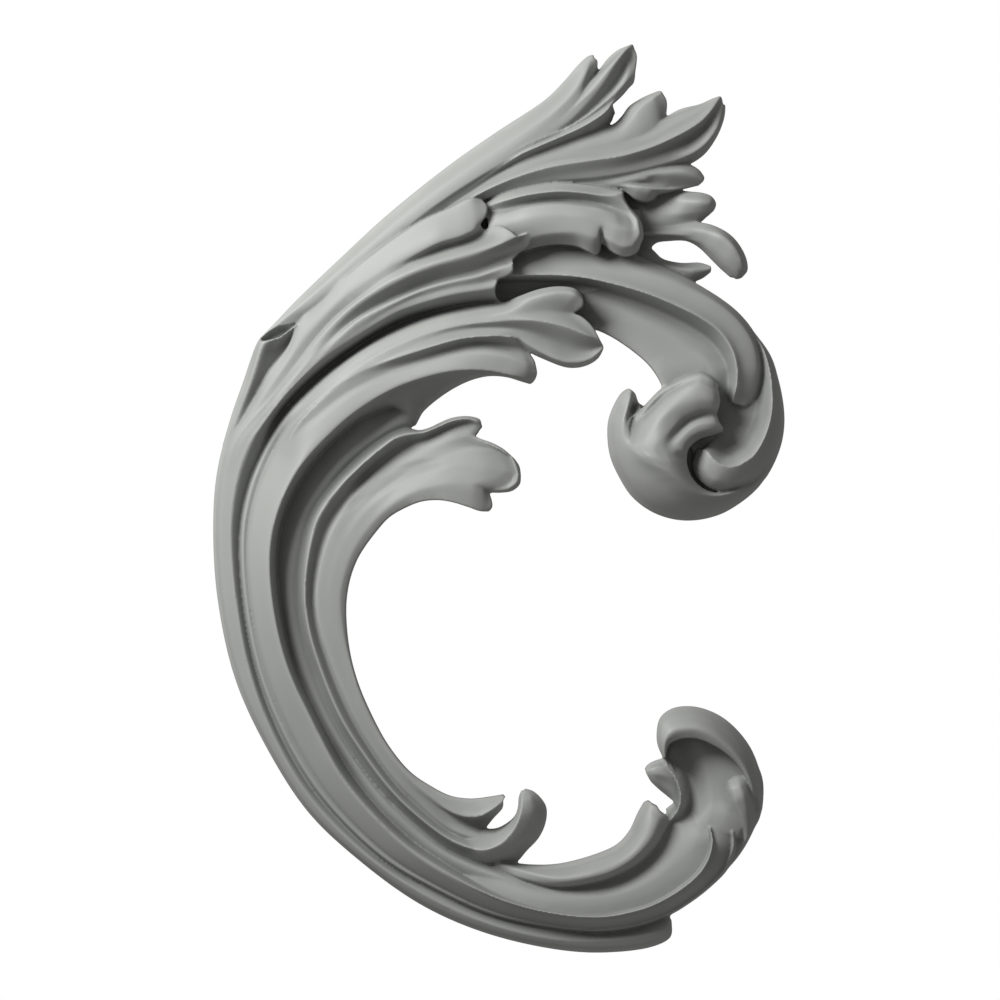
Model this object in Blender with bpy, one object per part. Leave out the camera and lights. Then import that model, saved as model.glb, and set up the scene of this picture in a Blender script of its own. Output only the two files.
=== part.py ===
"""Polyurethane applique: an openwork acanthus scroll cast in one piece, flat behind.

Metres, +Z up. The flat back lies on the plane Y = 0 and the carving faces -Y. The origin is the
middle of the glued pad on the back, at mid height of the stem. Every line of the carving is drawn
on one sheet, whose units run right and down, and UNIT turns them into metres."""
import bmesh
import bpy
import numpy as np

HEIGHT = 0.360
RELIEF = 0.032
PART_NAME = "acanthus_scroll_applique"

SHEET_TOP = 44.0
SHEET_BOTTOM = 952.5
ORIGIN_RIGHT = 290.0
ORIGIN_DOWN = 545.0
RELIEF_STEPS = 32.0
UNIT = HEIGHT / (SHEET_BOTTOM - SHEET_TOP)

STEP = 2.2
LINE_STEPS = 16
END_STEPS = 60
VOXEL = HEIGHT / 400
BACKING = 2.5 * VOXEL
FLAT_BAND = 0.4 * VOXEL
FACES_WANTED = 9400
PRIMER = (0.30, 0.31, 0.29, 1.0)
PRIMER_ROUGHNESS = 0.55


def smooth_slopes(gap, rise):
    """Slope at each inner knot so that a cubic never overshoots: the weighted harmonic mean of the
    two neighbouring chords where both climb the same way, and level at a crest or a hollow."""
    w_near = 2 * gap[..., 1:] + gap[..., :-1]
    w_far = gap[..., 1:] + 2 * gap[..., :-1]
    first, second = rise[..., :-1], rise[..., 1:]
    climbing = first * second > 0
    safe_first = np.where(climbing, first, 1.0)
    safe_second = np.where(climbing, second, 1.0)
    mean = (w_near + w_far) / (w_near / safe_first + w_far / safe_second)
    return np.where(climbing, mean, 0.0)


def cubic(t, gap, low, high, leave, arrive):
    """Cubic from low to high over one gap, with its slope given at both ends."""
    return ((1 + 2 * t) * (1 - t) ** 2 * low + t * (1 - t) ** 2 * gap * leave
            + t * t * (3 - 2 * t) * high + t * t * (t - 1) * gap * arrive)


def relief_along(knots, values, where):
    """Relief read between the stations that state one, with smooth_slopes."""
    gap = np.diff(knots)
    rise = np.diff(values) / gap
    slope = np.concatenate([rise[:1], smooth_slopes(gap, rise), rise[-1:]])
    i = np.clip(np.searchsorted(knots, where, side="right") - 1, 0, len(gap) - 1)
    t = (where - knots[i]) / gap[i]
    return cubic(t, gap[i], values[i], values[i + 1], slope[i], slope[i + 1])


def flowing_line(points):
    """Centripetal Catmull-Rom curve through points on the sheet, LINE_STEPS samples a span."""
    ends = np.vstack([2 * points[0] - points[1], points, 2 * points[-1] - points[-2]])
    span = np.maximum(np.linalg.norm(np.diff(ends, axis=0), axis=1), 1e-6) ** 0.5
    before, here, after = span[:-2, None], span[1:-1, None], span[2:, None]
    p0, p1, p2, p3 = ends[:-3], ends[1:-2], ends[2:-1], ends[3:]
    leave = ((p1 - p0) / before - (p2 - p0) / (before + here) + (p2 - p1) / here) * here
    arrive = ((p2 - p1) / here - (p3 - p1) / (here + after) + (p3 - p2) / after) * here
    t = np.linspace(0, 1, LINE_STEPS, endpoint=False)[None, :, None]
    one = [v[:, None, :] for v in (p1, p2, leave, arrive)]
    spans = ((1 + 2 * t) * (1 - t) ** 2 * one[0] + t * (1 - t) ** 2 * one[2]
             + t * t * (3 - 2 * t) * one[1] + t * t * (t - 1) * one[3])
    return np.vstack([spans.reshape(-1, 2), points[-1:]])


def line_length(points):
    """Length of a line on the sheet."""
    fine = flowing_line(np.array([p[:2] for p in points], float))
    return np.linalg.norm(np.diff(fine, axis=0), axis=1).sum()


def rail(points, count):
    """count samples, evenly spaced along a line given by a few (right, down, relief) points."""
    fine = flowing_line(np.array([p[:2] for p in points], float))
    run = np.concatenate([[0], np.cumsum(np.linalg.norm(np.diff(fine, axis=0), axis=1))])
    marks = [(run[i * LINE_STEPS], p[2]) for i, p in enumerate(points) if len(p) > 2]
    knots = np.array([m[0] for m in marks])
    values = np.array([m[1] for m in marks], float)
    where = np.linspace(0, run[-1], count)
    relief = relief_along(knots, values, np.clip(where, knots[0], knots[-1]))
    return np.stack([np.interp(where, run, fine[:, 0]), np.interp(where, run, fine[:, 1]), relief], axis=1)


def between(first, second, share, swell=0.0):
    """A line that keeps a share of the way from one line to another and swells above both."""
    line = []
    for p, q in zip(first, second):
        point = tuple(a + (b - a) * share for a, b in zip(p, q))
        if len(point) > 2:
            point = point[:2] + (point[2] + swell * 4 * share * (1 - share),)
        line.append(point)
    return line


def pull_ends(sheet, weight, corner_a, corner_b, through, t):
    """Bends one end of a strip from the straight edge between two rails to a curve through points."""
    flat = len(through[0]) < 3
    if flat:
        steps = np.linspace(0, 1, len(through) + 2)[1:-1]
        through = [p[:2] + (corner_a[2] + (corner_b[2] - corner_a[2]) * s,) for p, s in zip(through, steps)]
    curve = rail([tuple(corner_a)] + through + [tuple(corner_b)], END_STEPS)
    share = np.linspace(0, 1, END_STEPS)
    wanted = np.stack([np.interp(t, share, curve[:, k]) for k in range(3)], axis=1)
    straight = corner_a * (1 - t)[:, None] + corner_b * t[:, None]
    bend = (wanted - straight)[None] * weight[:, None, None]
    if flat:
        bend[..., 2] = 0
    return sheet + bend


def loft(lines, sharp=(), ends=None, starts=None, power=20):
    """A sheet across several rails: sample u runs along the rails and sample v across them. On the
    sheet v is straight from rail to rail; the relief is a cubic that rounds every rail but the sharp
    ones. ends and starts bend the edge of a strip at its last or first sample, fading by a power of u."""
    count = max(int(max(line_length(p) for p in lines) / STEP), 8)
    rails = np.stack([rail(p, count) for p in lines], axis=1)
    gap = np.maximum(np.linalg.norm(np.diff(rails[:, :, :2], axis=1), axis=2), 1e-3)
    rise = np.diff(rails[:, :, 2], axis=1) / gap
    leave = np.concatenate([rise[:, :1], smooth_slopes(gap, rise)], axis=1)
    arrive = np.concatenate([smooth_slopes(gap, rise), rise[:, -1:]], axis=1)
    for i in sharp:
        if 0 < i < len(lines) - 1:
            leave[:, i] = rise[:, i]
            arrive[:, i - 1] = rise[:, i - 1]
    u = np.linspace(0, 1, count)
    strips = []
    for i in range(len(lines) - 1):
        across = max(int(gap[:, i].max() / STEP), 3)
        t = np.linspace(0, 1, across + 1)
        if i < len(lines) - 2:
            t = t[:-1]
        near, far = rails[:, i, None, :], rails[:, i + 1, None, :]
        strip = near * (1 - t)[None, :, None] + far * t[None, :, None]
        strip[..., 2] = cubic(t[None], gap[:, i, None], near[..., 2], far[..., 2],
                              leave[:, i, None], arrive[:, i, None])
        if ends and i in ends:
            strip = pull_ends(strip, u ** power, rails[-1, i], rails[-1, i + 1], ends[i], t)
        if starts and i in starts:
            strip = pull_ends(strip, (1 - u) ** power, rails[0, i], rails[0, i + 1], starts[i], t)
        strips.append(strip)
    return np.concatenate(strips, axis=1)


# Stations of the stem, shared by the lines that run its whole length. Each point is
# (right, down, relief) on the drawing sheet, from the lower end up to the spray.
BEAD_EDGE = [
    (672, 921, 4), (671, 937, 4), (654, 946.7, 4.5), (600, 953, 5), (548, 948.5, 5), (480, 931.5, 5),
    (420, 904.5, 5), (360, 861.5, 5), (309, 813.5, 5), (269.5, 753.5, 5), (235.3, 680, 5), (217.5, 600, 5),
    (213, 530, 5.5), (216.5, 475, 6.5), (227, 436, 9)]
BEAD_CREST = [
    (670, 918, 5), (667, 927, 8), (648, 935, 9.5), (600, 941, 10), (550, 938.5, 10.5), (484, 922, 10.5),
    (425, 895, 11), (366, 855, 11), (314, 803, 11), (280, 749, 11), (252, 680, 11.5), (236, 600, 12),
    (231, 525, 12.5), (238, 476, 13.5), (252, 440, 15)]
BEAD_FOOT = [
    (670, 914, 4), (660, 920, 5.5), (640, 928, 6), (600, 933.5, 6.5), (550, 929, 7), (490, 916, 7),
    (430, 889, 7.5), (381, 860, 7.5), (325, 806, 7.5), (289, 753, 7.5), (258, 680, 7.5), (242, 600, 8),
    (239, 530, 8), (247, 485, 8.5), (262, 446, 9)]
RIB_FOOT = [
    (728, 829, 9), (736, 846, 8), (728, 869, 5), (710, 888, 5), (690, 903.5, 5), (671, 915, 5),
        (640, 927, 5.5),
    (600, 932.5, 6), (550, 928, 6.5), (490, 915, 6.5), (430, 888, 7), (381, 859, 7), (325, 805, 7),
    (289, 752, 7), (258, 679, 7), (242, 600, 7.5), (239, 530, 7.5), (247, 485, 8), (262, 446, 8.5)]
RIB_CREST = [
    (711, 830, 15), (713, 840, 16), (710, 856, 16.5), (700, 873, 17), (680, 890, 17), (655, 904, 17),
        (635, 911),
    (600, 917, 17), (550, 912.5, 17.5), (496, 897.5, 17.5), (440, 869, 18), (398, 838, 18), (346, 781, 18),
    (312, 719, 18.5), (287, 663, 19), (273, 600, 19), (271, 548, 19), (280, 508, 19.5), (300, 468, 20)]
TROUGH_FOOT = [
    (540, 905, 10), (503, 895, 8), (460, 878, 6.5), (428, 860, 5.5), (396, 835, 5), (363, 801, 5),
        (336, 759, 5),
    (311, 720, 5), (291, 675, 5), (278, 625, 5), (272, 575, 5), (279, 520, 5.5), (294, 485, 5.5)]
TROUGH_RIDGE = [
    (540, 892, 13), (510, 882, 12), (470, 866, 10.5), (440, 851, 9.5), (405, 823, 8.5), (378, 794, 8.5),
    (350, 755, 8.5), (328, 719, 8.5), (307, 674, 8.5), (294, 625, 8.5), (290, 580, 8.5), (302, 523, 9),
    (318, 492, 9)]
TROUGH_VALLEY = [
    (530, 878, 8), (503, 868, 7), (472, 861, 7), (446, 849, 6.5), (411, 821, 6.5), (385, 797, 6.5),
    (357, 762, 6.5), (334, 722, 6.5), (315, 674, 6.5), (301, 625, 6.5), (298, 580, 6.5), (308, 520, 7),
    (325, 492, 7)]
INNER_CREST = [
    (483, 849.5, 15), (475, 848.5, 14.5), (463, 845, 14), (445, 836, 13.5), (414, 812, 13.5),
        (392, 790, 13.5),
    (366, 756, 13.5), (342, 719, 13.5), (321, 670, 13.5), (308, 625, 13.5), (305, 585, 14),
        (317, 520, 14.5),
    (340, 486, 15)]
BAND_START = [
    (484, 838, 9.5), (476, 837.5, 9.5), (463, 834, 9.5), (445, 825, 9), (420, 804, 9), (398, 782, 9),
    (373, 748, 9), (352, 710, 9), (334, 668, 9), (320, 625, 9.5), (317, 590, 9.5), (329, 540, 10),
    (350, 503, 10)]
INNER_EDGE = [
    (504, 794.5, 8), (490, 797, 9), (470, 799, 8), (450, 796, 7), (430, 786, 6), (410, 772, 6),
        (390, 748, 6),
    (375, 722, 6), (357, 680, 6), (348, 640, 6), (347, 595, 6), (357, 560, 6), (380, 527, 6)]
LEAF_CREST = [
    (300, 422, 17.5), (320, 402, 18.5), (340, 386), (360, 373, 20), (380, 364.5, 21), (400, 357.5, 22),
    (420, 351)]


def front_spray():
    """The outer bead of the stem, which widens upwards into the spray of four curled tips."""
    edge = BEAD_EDGE + [
        (242, 417, 11), (255, 396, 12), (269, 372), (288, 347, 14), (300, 322, 15), (320, 302, 16),
        (350, 274, 18), (380, 250), (420, 223, 21), (450, 209), (472, 200, 22), (483, 201, 22)]
    first_groove = between(BEAD_EDGE, BEAD_CREST, 0.3, 1.2) + [
        (262, 406, 14.5), (290, 370), (330, 322, 18), (370, 288), (410, 265, 23), (430, 257),
        (460, 246, 22.5),
        (481, 232, 21)]
    second_crest = between(BEAD_EDGE, BEAD_CREST, 0.5, 1.2) + [
        (264, 410, 15), (295, 375), (330, 330, 19.5), (355, 306, 21.5), (380, 290, 23.5), (410, 275, 25.5),
        (440, 264), (470, 256, 26.5), (500, 246, 26.5), (517, 238, 26)]
    second_valley = between(BEAD_EDGE, BEAD_CREST, 0.66, 1.0) + [
        (266, 413), (297, 377), (330, 340, 19.5), (350, 324, 20), (370, 311, 20), (400, 296, 20.5),
        (430, 284.5), (470, 274, 21), (495, 266), (511, 262, 20)]
    third_crest = between(BEAD_EDGE, BEAD_CREST, 0.78, 0.8) + [
        (268, 415), (299, 379), (335, 343, 20), (360, 320, 21.5), (380, 309.5, 22.5), (400, 300.5, 23.2),
        (430, 288.5), (455, 282, 23.5), (480, 277), (500, 270), (513, 266, 23)]
    third_valley = between(BEAD_EDGE, BEAD_CREST, 0.9, 0.4) + [
        (270, 417), (300, 381), (338, 344, 20), (370, 323, 21), (400, 305.5, 22.2), (430, 294.5),
        (455, 288, 22.5), (480, 284), (498, 280, 21.5)]
    rolled_edge = BEAD_CREST + [
        (266, 420, 16), (281, 400, 17), (300, 380, 18), (330, 355), (360, 335, 20), (380, 322),
        (400, 311, 22),
        (430, 300.5), (455, 294, 23), (480, 290), (496, 287, 22.5)]
    foot = BEAD_FOOT + [
        (276, 421, 9), (295, 397), (320, 374, 10), (350, 352), (380, 333, 11), (410, 319), (450, 309, 12),
        (480, 304), (502, 303, 12)]
    rails = [edge, first_groove, second_crest, second_valley, third_crest, third_valley, rolled_edge, foot]
    ends = {0: [(488, 208), (486, 219)], 1: [(490, 228.5), (500, 227.5), (509, 231.5)],
            2: [(531, 235, 22), (529, 246, 21), (519, 254, 20)], 3: [(513, 262)], 4: [(513, 272),
            (507, 277)],
            6: [(495, 292), (497, 298)]}
    return loft(rails, ends=ends)


def split_leaf():
    """The first half of the stem's inner rib, opening into the leaf with two rounded lobes."""
    edge = RIB_FOOT + [
        (276, 421), (295, 397, 9), (320, 374), (350, 352, 10), (380, 333), (410, 319, 11), (450, 308),
        (480, 303.5, 12), (505, 302, 13), (518, 297, 16), (540, 289.5, 18), (560, 287, 19),
        (575, 289.5, 19.5),
        (582, 296, 19)]
    first_crest = between(RIB_FOOT, RIB_CREST, 0.16, 1.0) + [
        (288, 419), (306, 401, 14.5), (335, 374, 16), (365, 352, 17), (400, 334, 17.5), (440, 319, 18),
        (480, 312.5, 19), (510, 308, 21), (530, 300, 23), (555, 294.5, 24), (572, 295, 24), (583, 301, 22)]
    groove = between(RIB_FOOT, RIB_CREST, 0.26, 1.0) + [
        (292, 420), (310, 402, 16), (340, 377, 18), (370, 357), (400, 341, 19.5), (440, 325, 20),
        (480, 318, 20.8), (520, 312, 23), (545, 311.5, 22.5), (560, 313, 21.5), (573, 314, 20)]
    second_crest = between(RIB_FOOT, RIB_CREST, 0.34, 1.0) + [
        (294, 421), (313, 402, 17), (345, 377, 19), (380, 354.5), (420, 337, 21), (460, 326.5, 21.5),
        (500, 322, 22.5), (530, 321, 24.5), (560, 326, 25), (585, 335, 24.5), (600, 341, 22)]
    scoop = between(RIB_FOOT, RIB_CREST, 0.42, 1.0) + [
        (297, 422), (316, 403, 17.8), (348, 379, 19.5), (385, 357), (420, 341.5, 21), (460, 330.5, 20.5),
        (500, 328.5, 20.2), (520, 331, 20.2), (545, 340, 19.5), (570, 350, 18.5), (588, 351, 18),
        (603, 346, 18)]
    rim = between(RIB_FOOT, RIB_CREST, 0.46, 1.0) + [
        (298, 422), (318, 402.5), (352, 378, 19.8), (390, 358.5), (430, 342, 21.5), (460, 335, 21),
        (490, 332.5, 21), (512, 334.5, 21), (530, 346, 21), (550, 357, 21), (568, 362.5, 20.5),
        (588, 360, 20),
        (603, 349, 19)]
    lower_edge = between(RIB_FOOT, RIB_CREST, 0.5, 1.0) + LEAF_CREST + [
        (441, 345, 21), (460, 340, 20), (480, 337.5), (500, 337, 19), (513, 338, 18), (528, 351, 17),
        (545, 359.5), (568, 367.5, 16.5), (585, 366), (598, 358.5, 16.5), (604, 348, 17)]
    rails = [edge, first_crest, groove, second_crest, scoop, rim, lower_edge]
    ends = {1: [(583, 306), (578, 311)], 2: [(581, 317), (592, 327)]}
    return loft(rails, sharp=(3, 6), ends=ends)


def lower_leaf():
    """The second half of the inner rib: its high crest, its steep inner wall and the leaf it ends in."""
    crest = between(RIB_FOOT, RIB_CREST, 0.5, 1.0) + LEAF_CREST + [
        (441, 344, 23), (460, 339), (480, 336.5, 23.5), (500, 336), (513, 337, 23)]
    valley = between(RIB_FOOT, RIB_CREST, 0.62, 1.0) + [
        (304, 426, 17.5), (324, 408, 18.5), (346, 392), (370, 379, 19.5), (400, 367, 19), (430, 357.5),
        (450, 350.5, 18), (480, 344.5, 17.5), (505, 347, 17), (520, 350, 17), (529, 353, 16)]
    face = between(RIB_FOOT, RIB_CREST, 0.8, 1.0) + [
        (311, 433, 19), (332, 414, 19.8), (360, 393, 20.3), (400, 375, 20.5), (440, 361, 20.5),
        (480, 355, 20.5),
        (510, 360, 20), (525, 365, 19), (535, 369, 17)]
    rib = RIB_CREST + [
        (330, 434, 20.5), (360, 408.5, 21), (400, 386, 21.5), (450, 372, 22), (486, 371, 21),
        (515, 377, 20),
        (530, 381.5, 17)]
    wall_foot = [
        (708, 829, 12), (709, 840, 14), (706, 855, 15), (696, 871, 15.5), (677, 887, 15.5),
        (653, 901, 15.5),
        (635, 907), (600, 913, 15), (550, 909, 14), (498, 894, 12), (445, 864, 9), (403, 833, 6),
        (353, 777, 5),
        (319, 717, 5), (293, 661, 5), (280, 600, 5), (278, 548, 5), (288, 508, 5), (307, 474, 5),
        (335, 442, 5),
        (366, 417), (397, 409, 5), (408, 422, 4.5), (414, 426, 4), (423, 412), (440, 397.3, 4),
        (457, 386.5),
        (473, 379.5, 4), (490, 376, 5), (507, 377.2), (520, 382, 6), (531, 384.3, 9)]
    ends = {0: [(522, 343)], 1: [(534, 362)], 2: [(537, 373), (535, 380)]}
    return loft([crest, valley, face, rib, wall_foot], sharp=(3,), ends=ends)


def trough():
    """The sunk channel beside the rib, with one low ridge along it."""
    foot = TROUGH_FOOT + [(314, 453, 5.5), (340, 424), (370, 400, 5), (400, 387, 5), (432, 380, 4)]
    ridge = TROUGH_RIDGE + [(345, 460, 9), (370, 440, 9), (390, 425), (403, 414, 8.5), (428, 400, 5)]
    valley = TROUGH_VALLEY + [(350, 464, 7), (375, 443, 7), (395, 430, 7), (407, 421, 7), (416, 415, 5)]
    return loft([foot, ridge, valley])


def inner_band():
    """The broad inner band of the stem, from its lower lobe to the three-lobed leaf inside the scroll."""
    edge = TROUGH_VALLEY[2:] + [
        (350, 464, 7), (375, 443, 7), (395, 430, 7), (405, 426, 6), (414, 428.5, 5), (426, 429, 5),
        (440, 422.3, 6), (456, 416, 8), (468, 415.2, 9), (478.5, 417.5, 9)]
    crest = INNER_CREST + [
        (357, 469, 15), (376, 452, 15), (395, 436, 15), (412, 432.5, 13), (426, 430.5, 13),
        (440, 424, 13.5),
        (456, 419, 14.5), (470, 418, 15), (481.5, 422.5, 14)]
    hollow = between(INNER_CREST, BAND_START, 0.55) + [
        (364, 477, 9), (386, 459, 8.5), (407, 448, 8.5), (430, 439, 8.5), (452, 432, 9), (480, 430.5, 10)]
    start = BAND_START + [
        (368, 487, 10), (395, 467, 10.5), (425, 451, 11), (450, 443, 12), (474, 437, 12)]
    pocket = [
        (486, 828, 4), (478, 824.5, 5), (466, 821, 7), (448, 813, 9.5), (427, 799, 9.5), (403, 777, 9.5),
        (377.5, 744.5, 9.5), (357, 707.5, 10), (341, 666, 10), (328, 625, 10.5), (325, 590, 10.5),
        (337, 545, 10.5),
        (358, 508, 10.5), (377, 490, 11), (405, 470, 11.5), (440, 457, 12), (475, 450, 13),
        (500, 453, 14.5),
        (514, 458, 15)]
    lip = [
        (503, 799, 12), (497, 806, 13), (489, 812.5, 13.5), (477, 817.5, 13), (461, 816, 12),
        (438, 801, 11),
        (407, 774, 10.5), (381.5, 741.5, 10.5), (361, 705, 10.5), (347, 663, 10.5), (335.5, 624, 11),
        (332, 590, 11),
        (344, 548, 11), (366, 514, 11.5), (392, 492, 12.5), (420, 478, 13.5), (450, 470, 14.5),
        (480, 470, 15.5),
        (505, 473, 15.5), (521.5, 475, 14)]
    face = [
        (504, 797, 10), (494, 801, 11), (478, 806, 10.5), (458, 804, 10), (436, 793.5, 9.5),
        (408.5, 772.5, 9.5),
        (383.5, 740, 9.5), (364, 704, 9.5), (351, 662, 9.5), (341.5, 623, 9.5), (340, 590, 9.5),
        (352, 551, 9.5),
        (374, 520, 9.5), (393, 504, 11), (420, 490, 13), (448, 484, 14.5), (470, 486, 15), (486, 491.5, 13)]
    inner = INNER_EDGE + [
        (390, 516.8, 6), (405, 508), (420, 502, 6), (436, 500.1), (450, 501.7, 7), (468, 507),
        (480, 511.7, 8),
        (489, 511.8, 9)]
    rails = [edge, crest, hollow, start, pocket, lip, face, inner]
    ends = {0: [(481, 419.5)], 1: [(483, 426.5)], 2: [(478.5, 434)], 3: [(487, 439, 13), (503, 447, 13.5)],
            4: [(520, 467)], 5: [(519.5, 486), (506, 493)], 6: [(491.5, 499), (493, 508)]}
    starts = {4: [(494, 818), (503, 807)], 5: [(506, 797)]}
    return loft(rails, sharp=(1, 5), ends=ends, starts=starts)


def hook():
    """The small curled hook that springs from the stem beside the inner band's end."""
    outer = [
        (460, 861, 7), (485, 863.5, 7), (503, 863, 6), (516, 862.5, 4), (527, 851, 4), (539, 838, 4),
        (546, 822, 4), (546.5, 808, 4), (541.5, 799, 5), (533, 791.5, 6), (525, 789, 7)]
    flank = [
        (466, 855, 12), (485, 856, 13), (503, 851.5, 13), (517, 842, 13), (527, 828, 13), (532, 813, 13),
        (530, 800, 12), (525, 790.5, 8)]
    crest = [
        (466, 846, 14), (483, 849.5, 15.5), (500, 843, 16), (511, 832, 16), (518, 819, 16), (521, 807, 15),
        (521.5, 799, 13), (523.5, 790.5, 8)]
    scoop = [
        (462, 838, 10), (482, 838, 10), (497, 834, 10), (508, 826, 10), (515, 817, 10), (518.5, 807, 9.5),
        (520, 798, 9), (522, 791, 8)]
    inner = [
        (462, 832, 8), (485, 829.5, 6), (497, 828.5, 5), (507, 823.5, 5), (515, 816, 5), (518, 807, 6),
        (518.7, 798, 7), (521, 791.5, 7)]
    return loft([outer, flank, crest, scoop, inner], sharp=(2,))


def plateau():
    """The flat inside of the rib along the foot of the scroll."""
    crest = [
        (711, 830, 14.5), (713, 840, 15.5), (710, 856, 16), (700, 873, 16.5), (680, 890, 16.5),
        (655, 904, 16.5),
        (635, 911), (600, 917, 16.5), (550, 912.5, 16), (496, 897.5, 14), (450, 872, 11)]
    middle = [
        (716, 817, 13), (703, 836, 14), (690, 853, 14.5), (665, 873, 15), (640, 886, 15), (600, 897, 15),
        (560, 897, 14.5), (520, 888, 13), (480, 872, 10), (455, 860, 8)]
    foot = [
        (700, 800, 8), (680, 822, 8), (664, 843, 8.5), (645, 862, 9), (625, 875, 9.5), (600, 883, 10),
        (560, 886, 10), (520, 879, 9.5), (490, 869, 8), (465, 860, 7)]
    return loft([crest, middle, foot])


def edge_band():
    """The raised band along the inside edge of the foot, ending in a rounded lobe."""
    foot = [
        (680, 822, 7), (661, 848, 7.5), (641, 869, 8), (600, 887, 9), (560, 890, 9), (520, 882, 8),
        (490, 869, 7)]
    crest = [
        (668, 821, 14), (662, 832, 16), (650, 851, 17), (630, 868.5, 17), (600, 880, 17), (560, 884, 16),
        (525, 877, 13), (495, 864, 8)]
    back = [
        (661, 812, 15), (653, 828, 17.5), (640, 845, 18.5), (620, 861, 18.5), (600, 870, 18.5),
        (560, 876, 17),
        (525, 870, 12), (497, 862, 8)]
    shoulder = [
        (648, 802, 13), (642, 814, 15), (633, 833, 15), (618, 848, 14.5), (595, 859, 14), (560, 868, 13),
        (530, 867, 9), (500, 862, 6)]
    edge = [
        (643.5, 802, 8), (637.5, 813, 7), (629.5, 831, 6), (618, 844, 6), (600, 853, 6), (560, 864, 6),
        (530, 865, 5), (500, 861, 4)]
    starts = {0: [(676, 821.5)], 1: [(667, 816)], 2: [(655.5, 803)], 3: [(646, 800)]}
    return loft([foot, crest, back, shoulder, edge], sharp=(1,), starts=starts)


def cup():
    """The hollow of the lower curl, from its left rim across the floor to the outer wall."""
    left_rim = [
        (664, 757, 11), (668, 766, 12), (676, 777, 13), (681, 789, 13.5), (682, 800, 13.5), (679, 812, 13),
        (668, 822, 12), (652, 846, 8)]
    valley = [
        (671, 738, 5), (683, 758, 6), (690, 775, 7), (691, 790, 7.5), (688, 805, 8), (678, 825, 8),
        (668, 842, 8), (655, 858, 8)]
    floor = [
        (692, 730, 5), (705, 756, 7), (711, 778, 9.5), (712, 797, 11), (708, 815, 12), (700, 832, 13),
        (690, 850, 13.5), (670, 868, 14)]
    rise = [
        (720, 740, 6), (729, 763, 9), (732, 785, 12), (732, 803, 13.5), (728, 818, 14), (722, 835, 13.5),
        (712, 855, 13), (700, 870, 12)]
    wall = [
        (745, 765, 10), (748, 780, 13), (752, 795, 14.5), (750, 815, 14.5), (744, 832, 13.5),
        (737, 848, 12),
        (727, 862, 10), (712, 875, 8)]
    edge = [
        (757, 762, 5), (763, 780, 5), (763.5, 800, 5), (760, 818, 5), (755, 828, 5), (747, 844, 5),
        (738, 857.5, 5), (719, 880, 5)]
    return loft([left_rim, valley, floor, rise, wall, edge])


def hood():
    """The thick rolled hood over the top of the lower curl."""
    outer = [
        (664, 759, 12), (657.5, 745, 12), (656.5, 732, 11), (660.5, 717, 9), (672, 708.5, 7), (690, 706, 6),
        (710, 710.5, 5), (730, 722.5, 5), (750, 746.5, 5), (761.5, 775, 5), (764, 800, 5), (762, 812, 5)]
    shoulder = [
        (664, 758, 16), (661, 747, 18), (660.5, 735, 19), (665, 724, 18.5), (675, 717, 17),
        (690, 715, 15.5),
        (708, 719, 14), (726, 731, 12.5), (743, 751, 11.5), (754, 776, 11), (758, 798, 10), (759, 810, 9)]
    crest = [
        (665, 757, 18), (664, 748, 21), (666, 738, 23), (673, 732, 23.5), (683, 729, 23.5),
        (697, 729.5, 23),
        (712, 736, 22), (727, 747, 20), (739, 761, 17.5), (749, 778, 15), (754, 796, 13), (757, 808, 11)]
    lip = [
        (666, 756, 17), (667, 749, 20), (670, 743, 21.5), (676, 739.5, 22), (685, 737.5, 22),
        (698, 739, 21.5),
        (711, 744, 20.5), (725, 753, 18.5), (737, 764, 16), (747, 780, 13.5), (752, 795, 12),
        (755, 806, 10)]
    return loft([outer, shoulder, crest, lip])


def side_lobe():
    """The small lobe on the left rim of the cup."""
    upper = [(664, 759.5, 10), (655, 761, 10), (648, 764.5, 9), (644.5, 770, 9)]
    crest = [(672, 766, 13), (662, 767, 13.5), (652, 769, 13), (645.5, 771.5, 11)]
    middle = [(682, 790, 13.5), (670, 781, 14), (658, 776, 14), (646.5, 773.5, 11)]
    low = [(680, 813, 12), (674, 800, 12.5), (662, 787, 12), (647, 775.5, 10)]
    edge = [(671, 819, 8), (669.5, 803, 7), (661, 791, 7), (647.5, 778, 7)]
    return loft([upper, crest, middle, low, edge], power=6)


def leaflet():
    """The pointed leaflet laid on the cup's outer wall."""
    left = [(739, 848, 12), (738, 822, 13), (731, 803, 14.5), (728, 790, 16), (728.5, 779, 16)]
    crest = [(743.5, 846, 13.5), (745, 822, 16), (738, 803, 18.5), (733, 790, 20), (731, 779, 19)]
    face = [(748.5, 838, 13), (752, 820, 16), (748, 803, 18), (742, 788, 19), (736, 778, 18)]
    right = [(755, 828, 8), (760, 812, 9.5), (757, 795, 11), (751, 783, 13), (742, 776, 15)]
    return loft([left, crest, face, right], power=6)


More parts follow.
